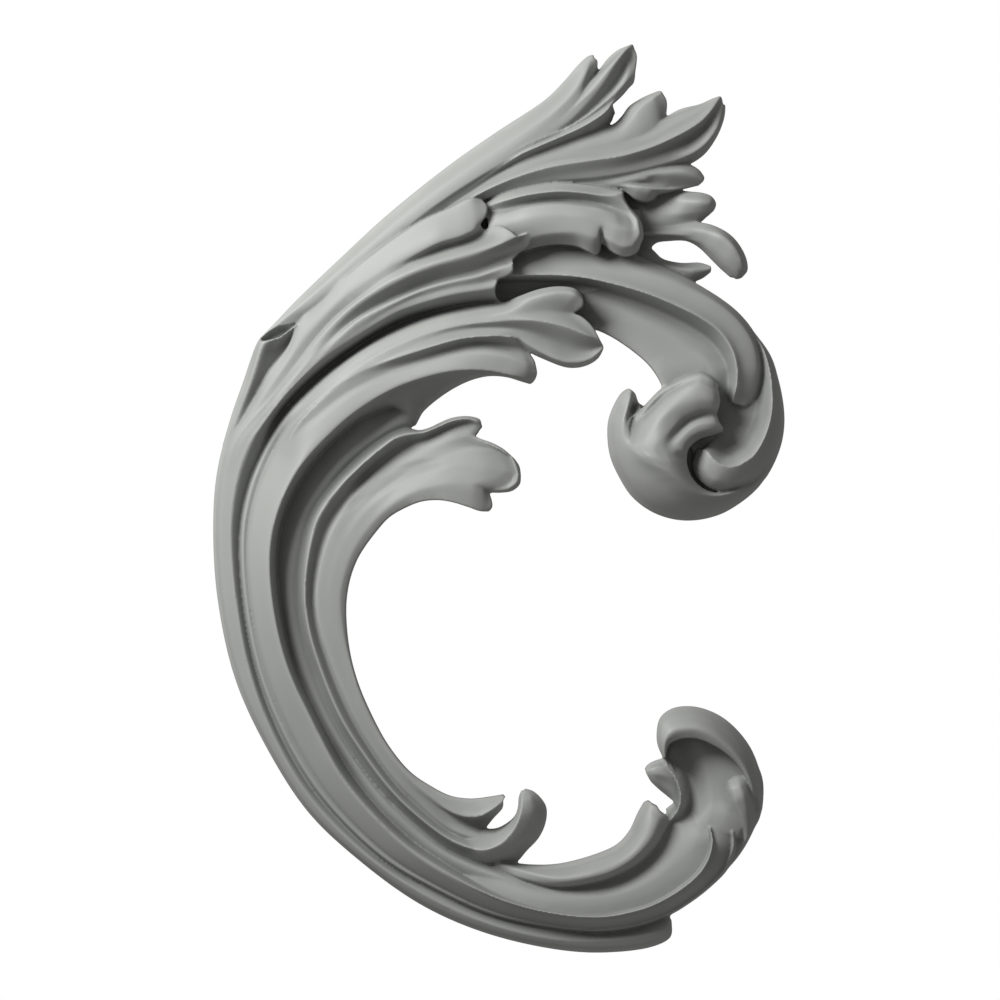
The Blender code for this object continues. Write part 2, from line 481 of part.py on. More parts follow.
def back_spray_upper():
    """The two upper lobes of the spray behind, which springs from the rolled root."""
    edge = [
        (260, 338, 12), (271, 327, 12), (296.5, 300.7, 12), (344.5, 254.7, 12), (382.4, 219.6),
        (421, 187.5, 12),
        (459, 158.5), (498, 131.5, 12), (546, 99.5, 12), (565, 80.5), (578, 65.5, 12), (588, 56.5, 12),
        (593, 55, 12)]
    crest = [
        (275, 337, 14), (300, 310, 15), (346, 264, 16), (422, 200, 17), (470, 166, 18), (520, 133, 18),
        (555, 109, 18), (575, 90, 18), (586, 72, 16), (593.5, 58, 13)]
    valley = [
        (285, 333, 14), (310, 307, 15.5), (350, 270, 17), (422, 208, 18), (470, 176, 18.5), (520, 143, 17),
        (560, 117, 15), (582, 94, 14), (596, 75, 12)]
    ridge = [
        (292, 330, 14), (315, 305, 15.5), (360, 266, 17), (430, 208, 18), (475, 178, 18.5), (520, 150, 18),
        (560, 126, 17), (590, 96, 18.5), (606, 73, 19), (620, 52, 17), (629, 44.5, 14)]
    channel = [
        (294, 329, 14), (318, 304, 15.5), (362, 266, 17), (430, 210, 18), (477, 178, 18.3),
        (520, 148, 16.5),
        (560, 132, 15), (590, 112, 14), (610, 92, 13.5), (626, 70, 13.5), (634, 48, 13)]
    lower_crest = [
        (297, 328, 14), (322, 304, 15.5), (366, 266, 17), (436, 210, 18.5), (480, 181, 19.5),
        (520, 151, 20),
        (560, 137.5, 20), (590, 121, 20), (610, 104, 19), (626, 86, 17.5), (636, 62, 13)]
    foot = [
        (299, 328, 12), (324, 305, 13), (368, 268, 14), (438, 213, 14), (482, 182, 13), (520, 158, 11),
        (560, 147, 10), (597, 131, 8), (614, 109, 7), (628, 93, 6), (635, 78, 6), (637, 62, 6)]
    ends = {0: [(594, 56)], 1: [(597, 62), (597, 71)], 2: [(602, 65.5), (613, 53.5)], 3: [(633, 44)],
            4: [(636.5, 52)]}
    return loft([edge, crest, valley, ridge, channel, lower_crest, foot], sharp=(5,), ends=ends)


def back_spray_lower():
    """The two lower lobes of the spray behind, with the long ridge that shades them."""
    edge = [
        (300, 326, 12), (368, 268, 13), (440, 212, 13), (482, 182, 12), (520, 158, 11.5), (560, 147, 11),
        (598, 130, 10), (612, 116, 9), (621.5, 108.5, 9), (633, 103, 9), (647, 95.5, 9), (659, 91, 10)]
    first = [
        (302, 326, 13), (370, 267, 15.5), (442, 212, 16), (484, 184, 16), (520, 163, 16), (560, 154, 16.5),
        (600, 145, 17), (630, 126, 17.5), (650, 110, 17.5), (662.5, 94, 15)]
    crease = [
        (303, 325, 13), (372, 266, 16), (444, 212, 17), (485, 186, 17.5), (520, 168, 18), (560, 158, 18),
        (600, 149, 18), (640, 136, 17), (655, 124, 15.5), (665.5, 117, 13)]
    second = [
        (304, 325, 13), (374, 265, 16.5), (446, 212, 18), (487, 187, 19), (520, 171, 20), (560, 161, 20.5),
        (600, 155, 21), (640, 144, 21), (680, 124, 21), (705, 107, 19), (718, 96.5, 16)]
    ridge = [
        (305, 324, 13), (376, 264, 16.5), (448, 212, 18.5), (489, 189, 20), (520, 174, 21.5),
        (550, 165.5, 22.5),
        (600, 160, 23), (640, 152.5, 23), (680, 138, 22.5), (700, 125, 20.5), (714, 108, 18),
        (721, 96.5, 16)]
    shade = [
        (306, 324, 12), (378, 264, 15), (450, 213, 16), (492, 193, 16), (530, 184, 16), (570, 178, 16.5),
        (610, 173, 17), (650, 163, 16), (680, 149, 15), (702, 134, 14.5), (717, 115, 14), (723, 99, 14)]
    rim = [
        (306, 324, 12), (378, 264, 14), (450, 214, 15), (492, 195, 15), (530, 188, 15), (570, 183, 15.5),
        (610, 180, 17), (650, 167, 17.5), (680, 160, 18), (704, 151, 17), (720, 128, 15), (724.5, 104, 13)]
    foot = [
        (306, 324, 10), (378, 264, 12), (450, 216, 13), (492, 198, 13), (530, 192, 13), (570, 190, 13),
        (610, 186, 13), (650, 172, 10), (686, 166, 8), (706, 154.5, 6), (724, 126, 6), (725.5, 104, 7)]
    ends = {0: [(661, 91.5)], 1: [(666.5, 103)], 2: [(682, 108.5), (700, 104)]}
    return loft([edge, first, crease, second, ridge, shade, rim, foot], sharp=(4,), ends=ends)


def back_spray_fingers():
    """The short blunt fingers under the spray behind."""
    upper = [
        (480, 196, 12), (530, 186, 14), (570, 180, 15), (605, 176, 16), (635, 170, 16), (665, 165, 14),
        (689, 164.5, 11), (699, 170, 10), (704.5, 178, 10)]
    crest = [
        (480, 199, 12), (530, 189, 14), (570, 184, 15.5), (605, 180, 17), (635, 176, 17), (665, 174, 16),
        (690, 175, 14), (703, 180, 11)]
    gap = [
        (480, 202, 12), (530, 192, 14), (570, 187, 15.5), (605, 184, 17), (630, 182, 17.5), (648, 181, 16),
        (665, 184.5, 13), (684, 188.5, 10), (700, 184.5, 8)]
    finger = [
        (480, 204, 12), (530, 196, 13), (570, 191, 15), (605, 188, 17), (632, 187, 18.5), (646, 188, 18),
        (654, 191, 16), (657, 194, 14)]
    foot = [
        (480, 206, 10), (530, 200, 11), (570, 196, 13), (605, 193, 15), (622, 196, 15.5), (634, 200, 15),
        (648, 202, 14), (655, 198, 13)]
    return loft([upper, crest, gap, finger, foot])


def middle_leaf():
    """The broad leaf between the two sprays, with a ridge along its top and two hanging lobes."""
    top = [(482, 204, 14), (500, 193, 17), (530, 187, 18), (560, 184, 18.5), (600, 187, 18),
        (622, 190.5, 17)]
    ridge = [
        (484, 206, 16), (504, 200, 21), (530, 195.5, 23), (560, 192.5, 24), (600, 196, 24),
        (614, 195.5, 24),
        (622, 193, 22)]
    groove = [
        (486, 212, 16), (506, 209, 18), (530, 204, 18.5), (560, 201, 19), (600, 203.5, 20), (618, 207, 20),
        (631, 208, 18)]
    face = [
        (488, 222, 19), (510, 216, 21.5), (530, 211, 23), (560, 207, 24), (590, 209, 25), (615, 216, 25.5),
        (632, 224, 25), (641, 226, 22)]
    swell = [
        (490, 236, 21), (515, 228, 22.5), (545, 222, 24.5), (575, 220, 26), (600, 223, 27),
        (620, 232, 27.5),
        (634, 240, 26), (643.5, 240, 22)]
    low = [
        (492, 246, 21), (520, 240, 21.5), (550, 234, 23.5), (580, 233, 26), (594, 236, 27),
        (602, 240, 25.5),
        (612, 248, 25.5), (628, 255, 23)]
    edge = [
        (494, 256, 15), (522, 252, 15), (540, 247, 16), (558, 245, 17), (576, 247, 19), (588, 252, 20),
        (596, 255, 19), (601, 243, 18)]
    ends = {1: [(623, 199)], 2: [(637, 215)], 3: [(643.5, 233)], 4: [(641, 254, 21)], 5: [(606, 247)]}
    return loft([top, ridge, groove, face, swell, low, edge], sharp=(1,), ends=ends)


def lobe_behind():
    """The rounded lobe low behind the sprays."""
    upper = [(600, 190, 4), (655, 184, 6), (690, 190.5, 8), (706, 193.5, 9), (714, 199, 9)]
    crest = [(600, 200, 5), (655, 200, 9), (690, 200, 14), (708, 201, 13), (716.5, 204, 9)]
    face = [(600, 216, 5), (655, 218, 10), (685, 216, 12), (704, 216, 11), (714.5, 208, 9)]
    edge = [(600, 236, 5), (655, 234, 9), (685, 230, 9), (706, 221, 8), (711, 214, 7)]
    return loft([upper, crest, face, edge], power=8)


def tongue():
    """The long tongue that droops to the right below the lobe."""
    upper = [
        (620, 224, 5), (660, 224, 7), (690, 222.5, 9), (710, 224.5, 10), (728, 232, 10), (741, 247, 9),
        (747.5, 263, 8), (744, 276, 8)]
    crest = [
        (620, 230, 6), (660, 231, 10), (690, 231, 13), (712, 235, 15.5), (726, 244, 16), (735, 256, 15),
        (739, 268, 12), (741, 278, 9)]
    face = [
        (620, 238, 6), (655, 240, 8), (680, 239, 10), (700, 243, 11), (714, 254, 11), (725, 266, 10),
        (733, 275, 9), (738, 279.5, 8)]
    edge = [
        (620, 250, 4), (648, 249, 5), (668, 241.5, 5), (687, 241, 5), (699, 247.5, 5), (711, 258.5, 5),
        (723, 270, 5), (735, 280, 6)]
    return loft([upper, crest, face, edge], power=6)


def low_tip():
    """The small pointed tip just above the scroll's stem."""
    upper = [(590, 240, 4), (630, 244, 5), (652, 249, 5), (662, 258, 5), (680, 262.5, 5), (700, 262.5, 6),
        (711, 266, 8)]
    crest = [
        (590, 262, 7), (630, 262, 8), (652, 262, 9), (672, 268, 10.5), (690, 270.5, 11), (702, 270, 10),
        (711.5, 269, 9)]
    edge = [(590, 275, 7), (630, 278, 7), (655, 278, 8), (675, 280, 9), (690, 282, 8), (702, 278.5, 7),
        (711, 272, 7)]
    return loft([upper, crest, edge], power=6)


def scroll_stem():
    """The curved stem of the upper scroll: a convex outer band, a sharp ridge and a hollow inner band."""
    outer = [
        (470, 250, 6), (505, 240, 8), (540, 236, 9), (580, 240, 10), (620, 250, 11), (655, 263, 12),
        (685, 277.5, 12), (719, 297.5, 11), (738, 312.5), (752.5, 330, 11), (764, 352, 11), (766, 372, 11),
        (763, 392, 11), (757, 404, 11)]
    band = [
        (470, 268, 8), (508, 262, 13), (545, 260, 14), (580, 263, 15), (620, 271, 16), (655, 281, 17),
        (690, 294, 18), (715, 309, 18.5), (735, 327, 18.5), (750, 348, 18.5), (754, 370, 18),
        (751, 392, 16),
        (746, 407, 12)]
    ridge = [
        (470, 280, 10), (510, 276.5, 15), (556, 276, 16), (580, 278, 17), (605, 283), (640, 292.5, 19),
        (672, 305), (700, 319, 21), (719, 333), (730, 350, 21), (735, 368, 21), (735, 385, 20),
        (731, 402, 17)]
    hollow = [
        (470, 290, 6), (510, 284, 8), (556, 283, 8), (590, 286, 9), (630, 298, 10), (665, 312, 11),
        (695, 327, 12), (714, 343, 12.5), (722, 360, 12.5), (724, 382, 12), (722, 404, 9)]
    channel = [
        (470, 302, 6), (510, 300, 7), (556, 300, 7.5), (595, 305, 9), (630, 318, 10.5), (660, 336, 12),
        (682, 354, 13), (700, 371, 14.5), (708, 388, 15), (710, 404, 12)]
    inner = [
        (470, 322, 5), (510, 322, 5), (560, 324, 5.5), (595, 329.5, 7), (612, 337, 8), (631, 349.5, 8),
        (647, 363, 8.5), (657, 376, 9), (664, 390, 9), (676, 415, 9)]
    return loft([outer, band, ridge, hollow, channel, inner], sharp=(2,))


def scroll_rim():
    """The rim that carries the outer wall of the scroll round to its eye."""
    edge = [
        (738, 313, 8), (752, 329.5, 8), (770.5, 355, 7), (778.5, 379, 7), (783.5, 404, 7), (784.5, 424, 7),
        (781.5, 444, 7), (772.5, 467, 7), (758.5, 487.5, 7), (739, 504.5, 7), (719, 515.5, 7),
        (694, 520.5, 7)]
    wall = [
        (748, 325, 12), (760, 341, 13), (773, 365, 14), (778, 390, 15), (779, 415, 15.5), (775, 438, 15.5),
        (766, 459, 16), (752, 477, 16), (736, 490, 16.5), (718, 497, 17), (702, 492, 17), (690, 476, 17)]
    rim = [
        (756, 335, 13), (764, 353, 17), (769, 373, 19), (771, 395, 20), (770, 415, 20.5), (764, 436, 21),
        (753, 455, 22), (739, 465, 23), (726, 467.5, 24), (716, 463, 24.5), (708, 453, 24.5),
        (701, 447, 23)]
    pocket = [
        (750, 345, 8), (757, 360, 9), (760, 378, 10), (761, 396, 11), (758, 414, 12), (752, 431, 13),
        (743, 446, 14), (734, 455, 15), (726, 457, 16), (718, 453, 17), (712, 447, 18), (704, 441, 19)]
    floor = [
        (725, 360, 6), (722, 378, 6.5), (718, 396, 7), (714, 412, 8), (712, 424, 9), (711, 432, 10),
        (709, 438, 11), (707, 440, 12), (706, 440, 13), (704, 439, 15), (702, 437, 17), (700, 435, 18)]
    return loft([edge, wall, rim, pocket, floor], sharp=(2,))


def scroll_ball():
    """The round underside of the scroll, with the upturned point on its left."""
    edge = [
        (628, 388, 12), (620, 394.5, 11), (613, 407, 9), (608.5, 420, 7.5), (607, 436, 7), (610.5, 457, 6),
        (619.5, 477.5, 5), (632, 496.5, 5), (650.5, 511, 5), (672, 519, 5), (694, 520.5, 5), (719, 515, 5),
        (739, 504, 6), (755, 491, 8)]
    swell = [
        (629.5, 388.6, 13), (623.5, 402, 16), (618, 413, 17), (616, 434, 18), (622, 457, 18.5),
        (632, 476, 18.5),
        (647, 491, 18.5), (665, 501, 18.5), (685, 505, 18), (704, 503, 17.5), (722, 500, 16),
        (738, 493, 14),
        (753, 483, 12)]
    high = [
        (632.5, 390.5, 14), (631, 408, 18), (628, 420, 20.5), (628, 438, 24), (636, 456, 26),
        (647, 472, 26.5),
        (661, 484, 26), (677, 490, 25), (693, 492, 23), (708, 494, 21), (722, 494, 19), (737, 489, 16.5),
        (753, 479, 13)]
    inside = [
        (637.5, 397, 13), (640.5, 408, 15), (642, 421, 17), (648, 438, 24), (656, 450, 28), (666, 459, 28),
        (675, 467, 27), (684, 474, 26), (692, 481, 24), (705, 489, 21), (720, 489, 15), (737, 484, 12),
        (753, 476, 10)]
    return loft([edge, swell, high, inside], power=8)


def scroll_leaf():
    """The leaf folded over the scroll's eye, with two blunt tips to the right."""
    top = [
        (638, 408, 12), (649, 398, 13), (662, 386.5, 15), (678, 378.5, 17), (694, 373.5, 18),
        (707, 374.5, 18),
        (716, 380.5, 18), (720.5, 391, 18)]
    brim = [
        (640, 414, 17), (652, 403, 18), (666, 393, 20), (680, 385, 21.5), (694, 380, 22.5),
        (705, 380.5, 22.5),
        (713, 385, 22), (719, 393, 20)]
    fold = [
        (633, 424, 18), (648, 409, 17.5), (664, 398, 19), (680, 390, 22), (694, 386, 24.5),
        (703, 386, 24.5),
        (711, 391, 23.5), (719, 397, 20)]
    crest = [
        (632, 434, 23), (648, 416, 24), (664, 405, 24.5), (680, 397, 25.5), (694, 393, 26),
        (704, 395, 25.5),
        (713, 400, 23), (718.5, 405, 19)]
    face = [
        (634, 446, 26), (652, 430, 29), (670, 418, 28.5), (684, 411, 27.5), (698, 408, 26), (708, 410, 24),
        (717, 413, 20)]
    crown = [
        (640, 456, 28), (660, 442, 31), (675, 432, 28.5), (688, 423, 25.5), (700, 418, 24.5),
        (712, 420, 24),
        (722, 426, 21)]
    dome = [
        (648, 466, 29), (666, 456, 31.5), (679, 443, 29.5), (690, 433, 27), (701, 427, 26), (712, 427, 24),
        (723, 430, 20)]
    slope = [
        (660, 476, 28), (674, 468, 30), (683, 452, 29), (691, 441, 26), (700, 436, 23.5), (710, 434, 21),
        (721, 432, 18)]
    eye_edge = [
        (676, 484, 25), (684, 472, 26), (687, 456, 25), (692, 446, 22), (701, 440, 19), (711, 437, 17),
        (721, 433.5, 15)]
    return loft([top, brim, fold, crest, face, crown, dome, slope, eye_edge], power=8)


def rolled_root():
    """The rolled lip at the root of the spray behind."""
    edge = [(222.3, 446, 7.5), (232.8, 411, 8), (243.8, 380, 8.5), (251.7, 357, 9), (256.8, 340, 10),
        (261, 336.5, 11)]
    crest = [(231, 440, 10), (241, 411, 12.5), (253, 385, 15), (262, 362, 17), (268, 346, 18),
        (276, 338, 18)]
    shade = [(236, 437, 10), (246, 411, 12), (258, 388, 14), (270, 366, 16), (278, 348, 17.5),
        (288, 336, 17)]
    foot = [(240, 434, 8), (252, 408, 9), (262, 390, 10), (275, 368, 11), (291, 346, 12), (302, 326, 12)]
    return loft([edge, crest, shade, foot], power=8)


def ground():
    """Low ground that closes the gaps where leaves and stems cross."""
    patches = [
        [[(262, 338, 9), (300, 314, 10)], [(272, 352, 9), (306, 332, 10)]],
        [[(440, 300, 6), (520, 258, 6), (640, 246, 6)], [(440, 322, 6), (520, 304, 6), (600, 290, 6)]],
        [[(470, 214, 8), (560, 190, 8), (640, 210, 8)], [(470, 240, 8), (560, 240, 8), (640, 240, 8)]],
        [[(445, 850, 5), (480, 860, 5), (506, 861, 4.5)], [(470, 874, 6), (500, 880, 6), (540, 880, 6)]],
        [[(700, 395, 7), (690, 450, 8), (700, 488, 8)], [(735, 395, 8), (735, 440, 8.5), (735, 490, 8)],
         [(760, 395, 8), (765, 440, 8), (752, 478, 8)]],
        [[(640, 412, 10), (655, 440, 12), (680, 480, 12)], [(690, 395, 10), (700, 440, 12),
        (705, 490, 12)]],
        [[(666, 809, 6), (672, 826, 6)], [(676, 800, 8), (682, 818, 8)]],
    ]
    return [loft(rails) for rails in patches]


def ornament():
    """Every sheet of the carving, in the order in which it is drawn."""
    single = [
        front_spray, split_leaf, lower_leaf, trough, inner_band, hook, plateau, edge_band, cup, hood,
        side_lobe,
        leaflet, back_spray_upper, back_spray_lower, back_spray_fingers, middle_leaf, lobe_behind, tongue,
        low_tip, scroll_stem, scroll_rim, scroll_ball, scroll_leaf, rolled_root]
    return [make() for make in single] + ground()


def to_metres(sheet):
    """Points of the part from samples on the sheet: the relief stands out towards -Y."""
    right = (sheet[..., 0] - ORIGIN_RIGHT) * UNIT
    out = -sheet[..., 2] * RELIEF / RELIEF_STEPS
    up = (ORIGIN_DOWN - sheet[..., 1]) * UNIT
    return np.stack([right, out, up], axis=-1)


def closed_shell(sheet):
    """Vertices and four-sided faces of the block between one sheet and a plane behind the back."""
    rows, columns = sheet.shape[:2]
    front = to_metres(sheet).reshape(-1, 3)
    back = front.copy()
    back[:, 1] = BACKING
    number = np.arange(rows * columns).reshape(rows, columns)
    corners = [number[:-1, :-1], number[:-1, 1:], number[1:, 1:], number[1:, :-1]]
    quads = np.stack(corners, axis=-1).reshape(-1, 4)
    rim = np.concatenate([number[0, :-1], number[:-1, -1], number[-1, :0:-1], number[:0:-1, 0]])
    following = np.roll(rim, -1)
    behind = rows * columns
    walls = np.stack([rim, rim + behind, following + behind, following], axis=-1)
    faces = np.concatenate([quads, quads[:, ::-1] + behind, walls])
    return np.vstack([front, back]), faces


def joined_blocks(sheets):
    """One mesh that holds the block under every sheet."""
    points, faces, used = [], [], 0
    for sheet in sheets:
        block_points, block_faces = closed_shell(sheet)
        points.append(block_points)
        faces.append(block_faces + used)
        used += len(block_points)
    mesh = bpy.data.meshes.new("blocks")
    mesh.from_pydata(np.vstack(points).tolist(), [], np.vstack(faces).tolist())
    return mesh


def with_modifier(mesh, kind, **settings):
    """The mesh after one modifier."""
    carrier = bpy.data.objects.new("carrier", mesh)
    bpy.context.scene.collection.objects.link(carrier)
    modifier = carrier.modifiers.new(kind.lower(), kind)
    for name, value in settings.items():
        setattr(modifier, name, value)
    bpy.context.view_layer.update()
    graph = bpy.context.evaluated_depsgraph_get()
    result = bpy.data.meshes.new_from_object(carrier.evaluated_get(graph))
    bpy.data.objects.remove(carrier)
    return result


def cut_flat(mesh):
    """Cuts away what lies behind the back plane and closes the cut with one flat face net."""
    net = bmesh.new()
    net.from_mesh(mesh)
    everything = net.verts[:] + net.edges[:] + net.faces[:]
    bmesh.ops.bisect_plane(net, geom=everything, plane_co=(0, 0, 0), plane_no=(0, 1, 0), clear_outer=True)
    rim = [edge for edge in net.edges if edge.is_boundary]
    bmesh.ops.triangle_fill(net, edges=rim, use_beauty=True, normal=(0, 1, 0))
    bmesh.ops.triangulate(net, faces=net.faces[:])
    bmesh.ops.recalc_face_normals(net, faces=net.faces[:])
    net.to_mesh(mesh)
    net.free()


def largest_body(mesh):
    """Keeps the body with the most faces and levels the back."""
    net = bmesh.new()
    net.from_mesh(mesh)
    waiting = set(net.verts)
    bodies = []
    while waiting:
        seed = waiting.pop()
        body, front = [seed], [seed]
        while front:
            vertex = front.pop()
            for edge in vertex.link_edges:
                other = edge.other_vert(vertex)
                if other in waiting:
                    waiting.remove(other)
                    body.append(other)
                    front.append(other)
        bodies.append(body)
    bodies.sort(key=len)
    stray = [vertex for body in bodies[:-1] for vertex in body]
    bmesh.ops.delete(net, geom=stray, context="VERTS")
    for vertex in net.verts:
        if abs(vertex.co.y) < FLAT_BAND:
            vertex.co.y = 0.0
    bmesh.ops.recalc_face_normals(net, faces=net.faces[:])
    net.to_mesh(mesh)
    net.free()


def primer():
    """Matt grey factory primer."""
    material = bpy.data.materials.new("grey_primer")
    material.use_nodes = True
    shader = material.node_tree.nodes["Principled BSDF"]
    shader.inputs["Base Color"].default_value = PRIMER
    shader.inputs["Roughness"].default_value = PRIMER_ROUGHNESS
    return material


def main():
    """Builds the applique as one solid."""
    for item in list(bpy.data.objects):
        bpy.data.objects.remove(item, do_unlink=True)
    mesh = joined_blocks(ornament())
    mesh = with_modifier(mesh, "REMESH", mode="VOXEL", voxel_size=VOXEL, adaptivity=0.0)
    cut_flat(mesh)
    share = FACES_WANTED / len(mesh.polygons)
    mesh = with_modifier(mesh, "DECIMATE", ratio=share, use_collapse_triangulate=True)
    largest_body(mesh)
    mesh.name = PART_NAME
    mesh.materials.clear()
    mesh.materials.append(primer())
    part = bpy.data.objects.new(PART_NAME, mesh)
    bpy.context.scene.collection.objects.link(part)


main()
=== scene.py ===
"""The look of the polyurethane applique: its carving at full detail, its primer, the light and the camera."""
import math

import bmesh
import bpy
import numpy as np
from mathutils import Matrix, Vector


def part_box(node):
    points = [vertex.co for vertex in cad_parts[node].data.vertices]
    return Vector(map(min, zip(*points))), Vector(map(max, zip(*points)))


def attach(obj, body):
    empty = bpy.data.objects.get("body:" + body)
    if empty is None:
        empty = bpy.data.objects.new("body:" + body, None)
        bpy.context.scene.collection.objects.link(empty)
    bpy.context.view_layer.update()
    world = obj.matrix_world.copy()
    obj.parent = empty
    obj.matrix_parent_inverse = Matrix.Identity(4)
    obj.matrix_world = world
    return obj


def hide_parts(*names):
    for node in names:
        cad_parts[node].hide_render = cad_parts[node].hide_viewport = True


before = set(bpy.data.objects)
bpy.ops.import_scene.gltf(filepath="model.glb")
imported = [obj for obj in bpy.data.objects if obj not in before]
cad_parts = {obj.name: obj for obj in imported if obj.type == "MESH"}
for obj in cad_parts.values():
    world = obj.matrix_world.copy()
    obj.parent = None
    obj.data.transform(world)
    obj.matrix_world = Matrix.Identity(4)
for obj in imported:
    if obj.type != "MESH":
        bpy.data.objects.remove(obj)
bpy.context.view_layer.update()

NODE = "acanthus_scroll_applique"

# The carving is drawn on one sheet, whose units run right and down. UNIT turns them into metres.
SHEET_TOP = 44.0
SHEET_BOTTOM = 952.5
ORIGIN_RIGHT = 290.0
ORIGIN_DOWN = 545.0
SHEET_MIDDLE = 500.0
SHEET_WIDTH = 1000.0
RELIEF_STEPS = 32.0
LOW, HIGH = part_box(NODE)
HEIGHT = HIGH.z - LOW.z
UNIT = HEIGHT / (SHEET_BOTTOM - SHEET_TOP)
RELIEF_SHARE = 0.0889
RELIEF = HEIGHT * RELIEF_SHARE

# Fineness of the carved surface.
STEP = 0.9
FEWEST_ALONG = 8
FEWEST_ACROSS = 3
LEAST_SPAN = 1e-6
LEAST_GAP = 1e-3
LINE_STEPS = 24
END_STEPS = 120
BEND_REACH = 2.6
LEAST_REACH = 6.0
VOXEL = HEIGHT / 900
BACKING = 3 * VOXEL
FLAT_BAND = 0.5 * VOXEL
SMOOTH_SHARE = 0.5
SMOOTH_ROUNDS = 3
RIM_ROUNDS = 6
RIM_REACH = 3
WALL_SLOPE = 0.35
FACES_WANTED = 194000
LEAST_LINKS = 3
CAP_ROUNDS = 2
BLUNT_COSINE = -0.97
CAP_MOVE = 0.6 * VOXEL
LEAST_LENGTH = 1e-12
BACK_FACING = 0.99


def smooth_slopes(gap, rise):
    """Slope at each inner knot so that a cubic never overshoots: the weighted harmonic mean of the
    two neighbouring chords where both climb the same way, and level at a crest or a hollow."""
    w_near = 2 * gap[..., 1:] + gap[..., :-1]
    w_far = gap[..., 1:] + 2 * gap[..., :-1]
    first, second = rise[..., :-1], rise[..., 1:]
    climbing = first * second > 0
    safe_first = np.where(climbing, first, 1.0)
    safe_second = np.where(climbing, second, 1.0)
    mean = (w_near + w_far) / (w_near / safe_first + w_far / safe_second)
    return np.where(climbing, mean, 0.0)


def cubic(t, gap, low, high, leave, arrive):
    """Cubic from low to high over one gap, with its slope given at both ends."""
    return ((1 + 2 * t) * (1 - t) ** 2 * low + t * (1 - t) ** 2 * gap * leave
            + t * t * (3 - 2 * t) * high + t * t * (t - 1) * gap * arrive)


def relief_along(knots, values, where):
    """Relief read between the stations that state one, with smooth_slopes."""
    gap = np.diff(knots)
    rise = np.diff(values) / gap
    slope = np.concatenate([rise[:1], smooth_slopes(gap, rise), rise[-1:]])
    i = np.clip(np.searchsorted(knots, where, side="right") - 1, 0, len(gap) - 1)
    t = (where - knots[i]) / gap[i]
    return cubic(t, gap[i], values[i], values[i + 1], slope[i], slope[i + 1])


def flowing_line(points):
    """Centripetal Catmull-Rom curve through points on the sheet, LINE_STEPS samples a span."""
    ends = np.vstack([2 * points[0] - points[1], points, 2 * points[-1] - points[-2]])
    span = np.maximum(np.linalg.norm(np.diff(ends, axis=0), axis=1), LEAST_SPAN) ** 0.5
    before, here, after = span[:-2, None], span[1:-1, None], span[2:, None]
    p0, p1, p2, p3 = ends[:-3], ends[1:-2], ends[2:-1], ends[3:]
    leave = ((p1 - p0) / before - (p2 - p0) / (before + here) + (p2 - p1) / here) * here
    arrive = ((p2 - p1) / here - (p3 - p1) / (here + after) + (p3 - p2) / after) * here
    t = np.linspace(0, 1, LINE_STEPS, endpoint=False)[None, :, None]
    one = [v[:, None, :] for v in (p1, p2, leave, arrive)]
    spans = ((1 + 2 * t) * (1 - t) ** 2 * one[0] + t * (1 - t) ** 2 * one[2]
             + t * t * (3 - 2 * t) * one[1] + t * t * (t - 1) * one[3])
    return np.vstack([spans.reshape(-1, 2), points[-1:]])


def line_length(points):
    """Length of a line on the sheet."""
    fine = flowing_line(np.array([p[:2] for p in points], float))
    return np.linalg.norm(np.diff(fine, axis=0), axis=1).sum()


def rail(points, count):
    """count samples, evenly spaced along a line given by a few (right, down, relief) points."""
    fine = flowing_line(np.array([p[:2] for p in points], float))
    run = np.concatenate([[0], np.cumsum(np.linalg.norm(np.diff(fine, axis=0), axis=1))])
    marks = [(run[i * LINE_STEPS], p[2]) for i, p in enumerate(points) if len(p) > 2]
    knots = np.array([m[0] for m in marks])
    values = np.array([m[1] for m in marks], float)
    where = np.linspace(0, run[-1], count)
    relief = relief_along(knots, values, np.clip(where, knots[0], knots[-1]))
    return np.stack([np.interp(where, run, fine[:, 0]), np.interp(where, run, fine[:, 1]), relief], axis=1)


def between(first, second, share, swell=0.0):
    """A line that keeps a share of the way from one line to another and swells above both."""
    line = []
    for p, q in zip(first, second):
        point = tuple(a + (b - a) * share for a, b in zip(p, q))
        if len(point) > 2:
            point = point[:2] + (point[2] + swell * 4 * share * (1 - share),)
        line.append(point)
    return line


def pull_ends(strip, away, corner_a, corner_b, through, t):
    """Bends one end of a strip from the straight edge between two rails to a curve through points. The
    bend fades with the square of the way left, over a reach that grows with the bend."""
    flat = len(through[0]) < 3
    if flat:
        steps = np.linspace(0, 1, len(through) + 2)[1:-1]
        through = [p[:2] + (corner_a[2] + (corner_b[2] - corner_a[2]) * s,) for p, s in zip(through, steps)]
    curve = rail([tuple(corner_a)] + through + [tuple(corner_b)], END_STEPS)
    share = np.linspace(0, 1, END_STEPS)
    wanted = np.stack([np.interp(t, share, curve[:, k]) for k in range(3)], axis=1)
    bend = wanted - corner_a * (1 - t)[:, None] - corner_b * t[:, None]
    if flat:
        bend[:, 2] = 0
    reach = max(BEND_REACH * np.linalg.norm(bend[:, :2], axis=1).max(), LEAST_REACH)
    weight = np.clip(1 - away / reach, 0, 1) ** 2
    return strip + bend[None] * weight[:, None, None]


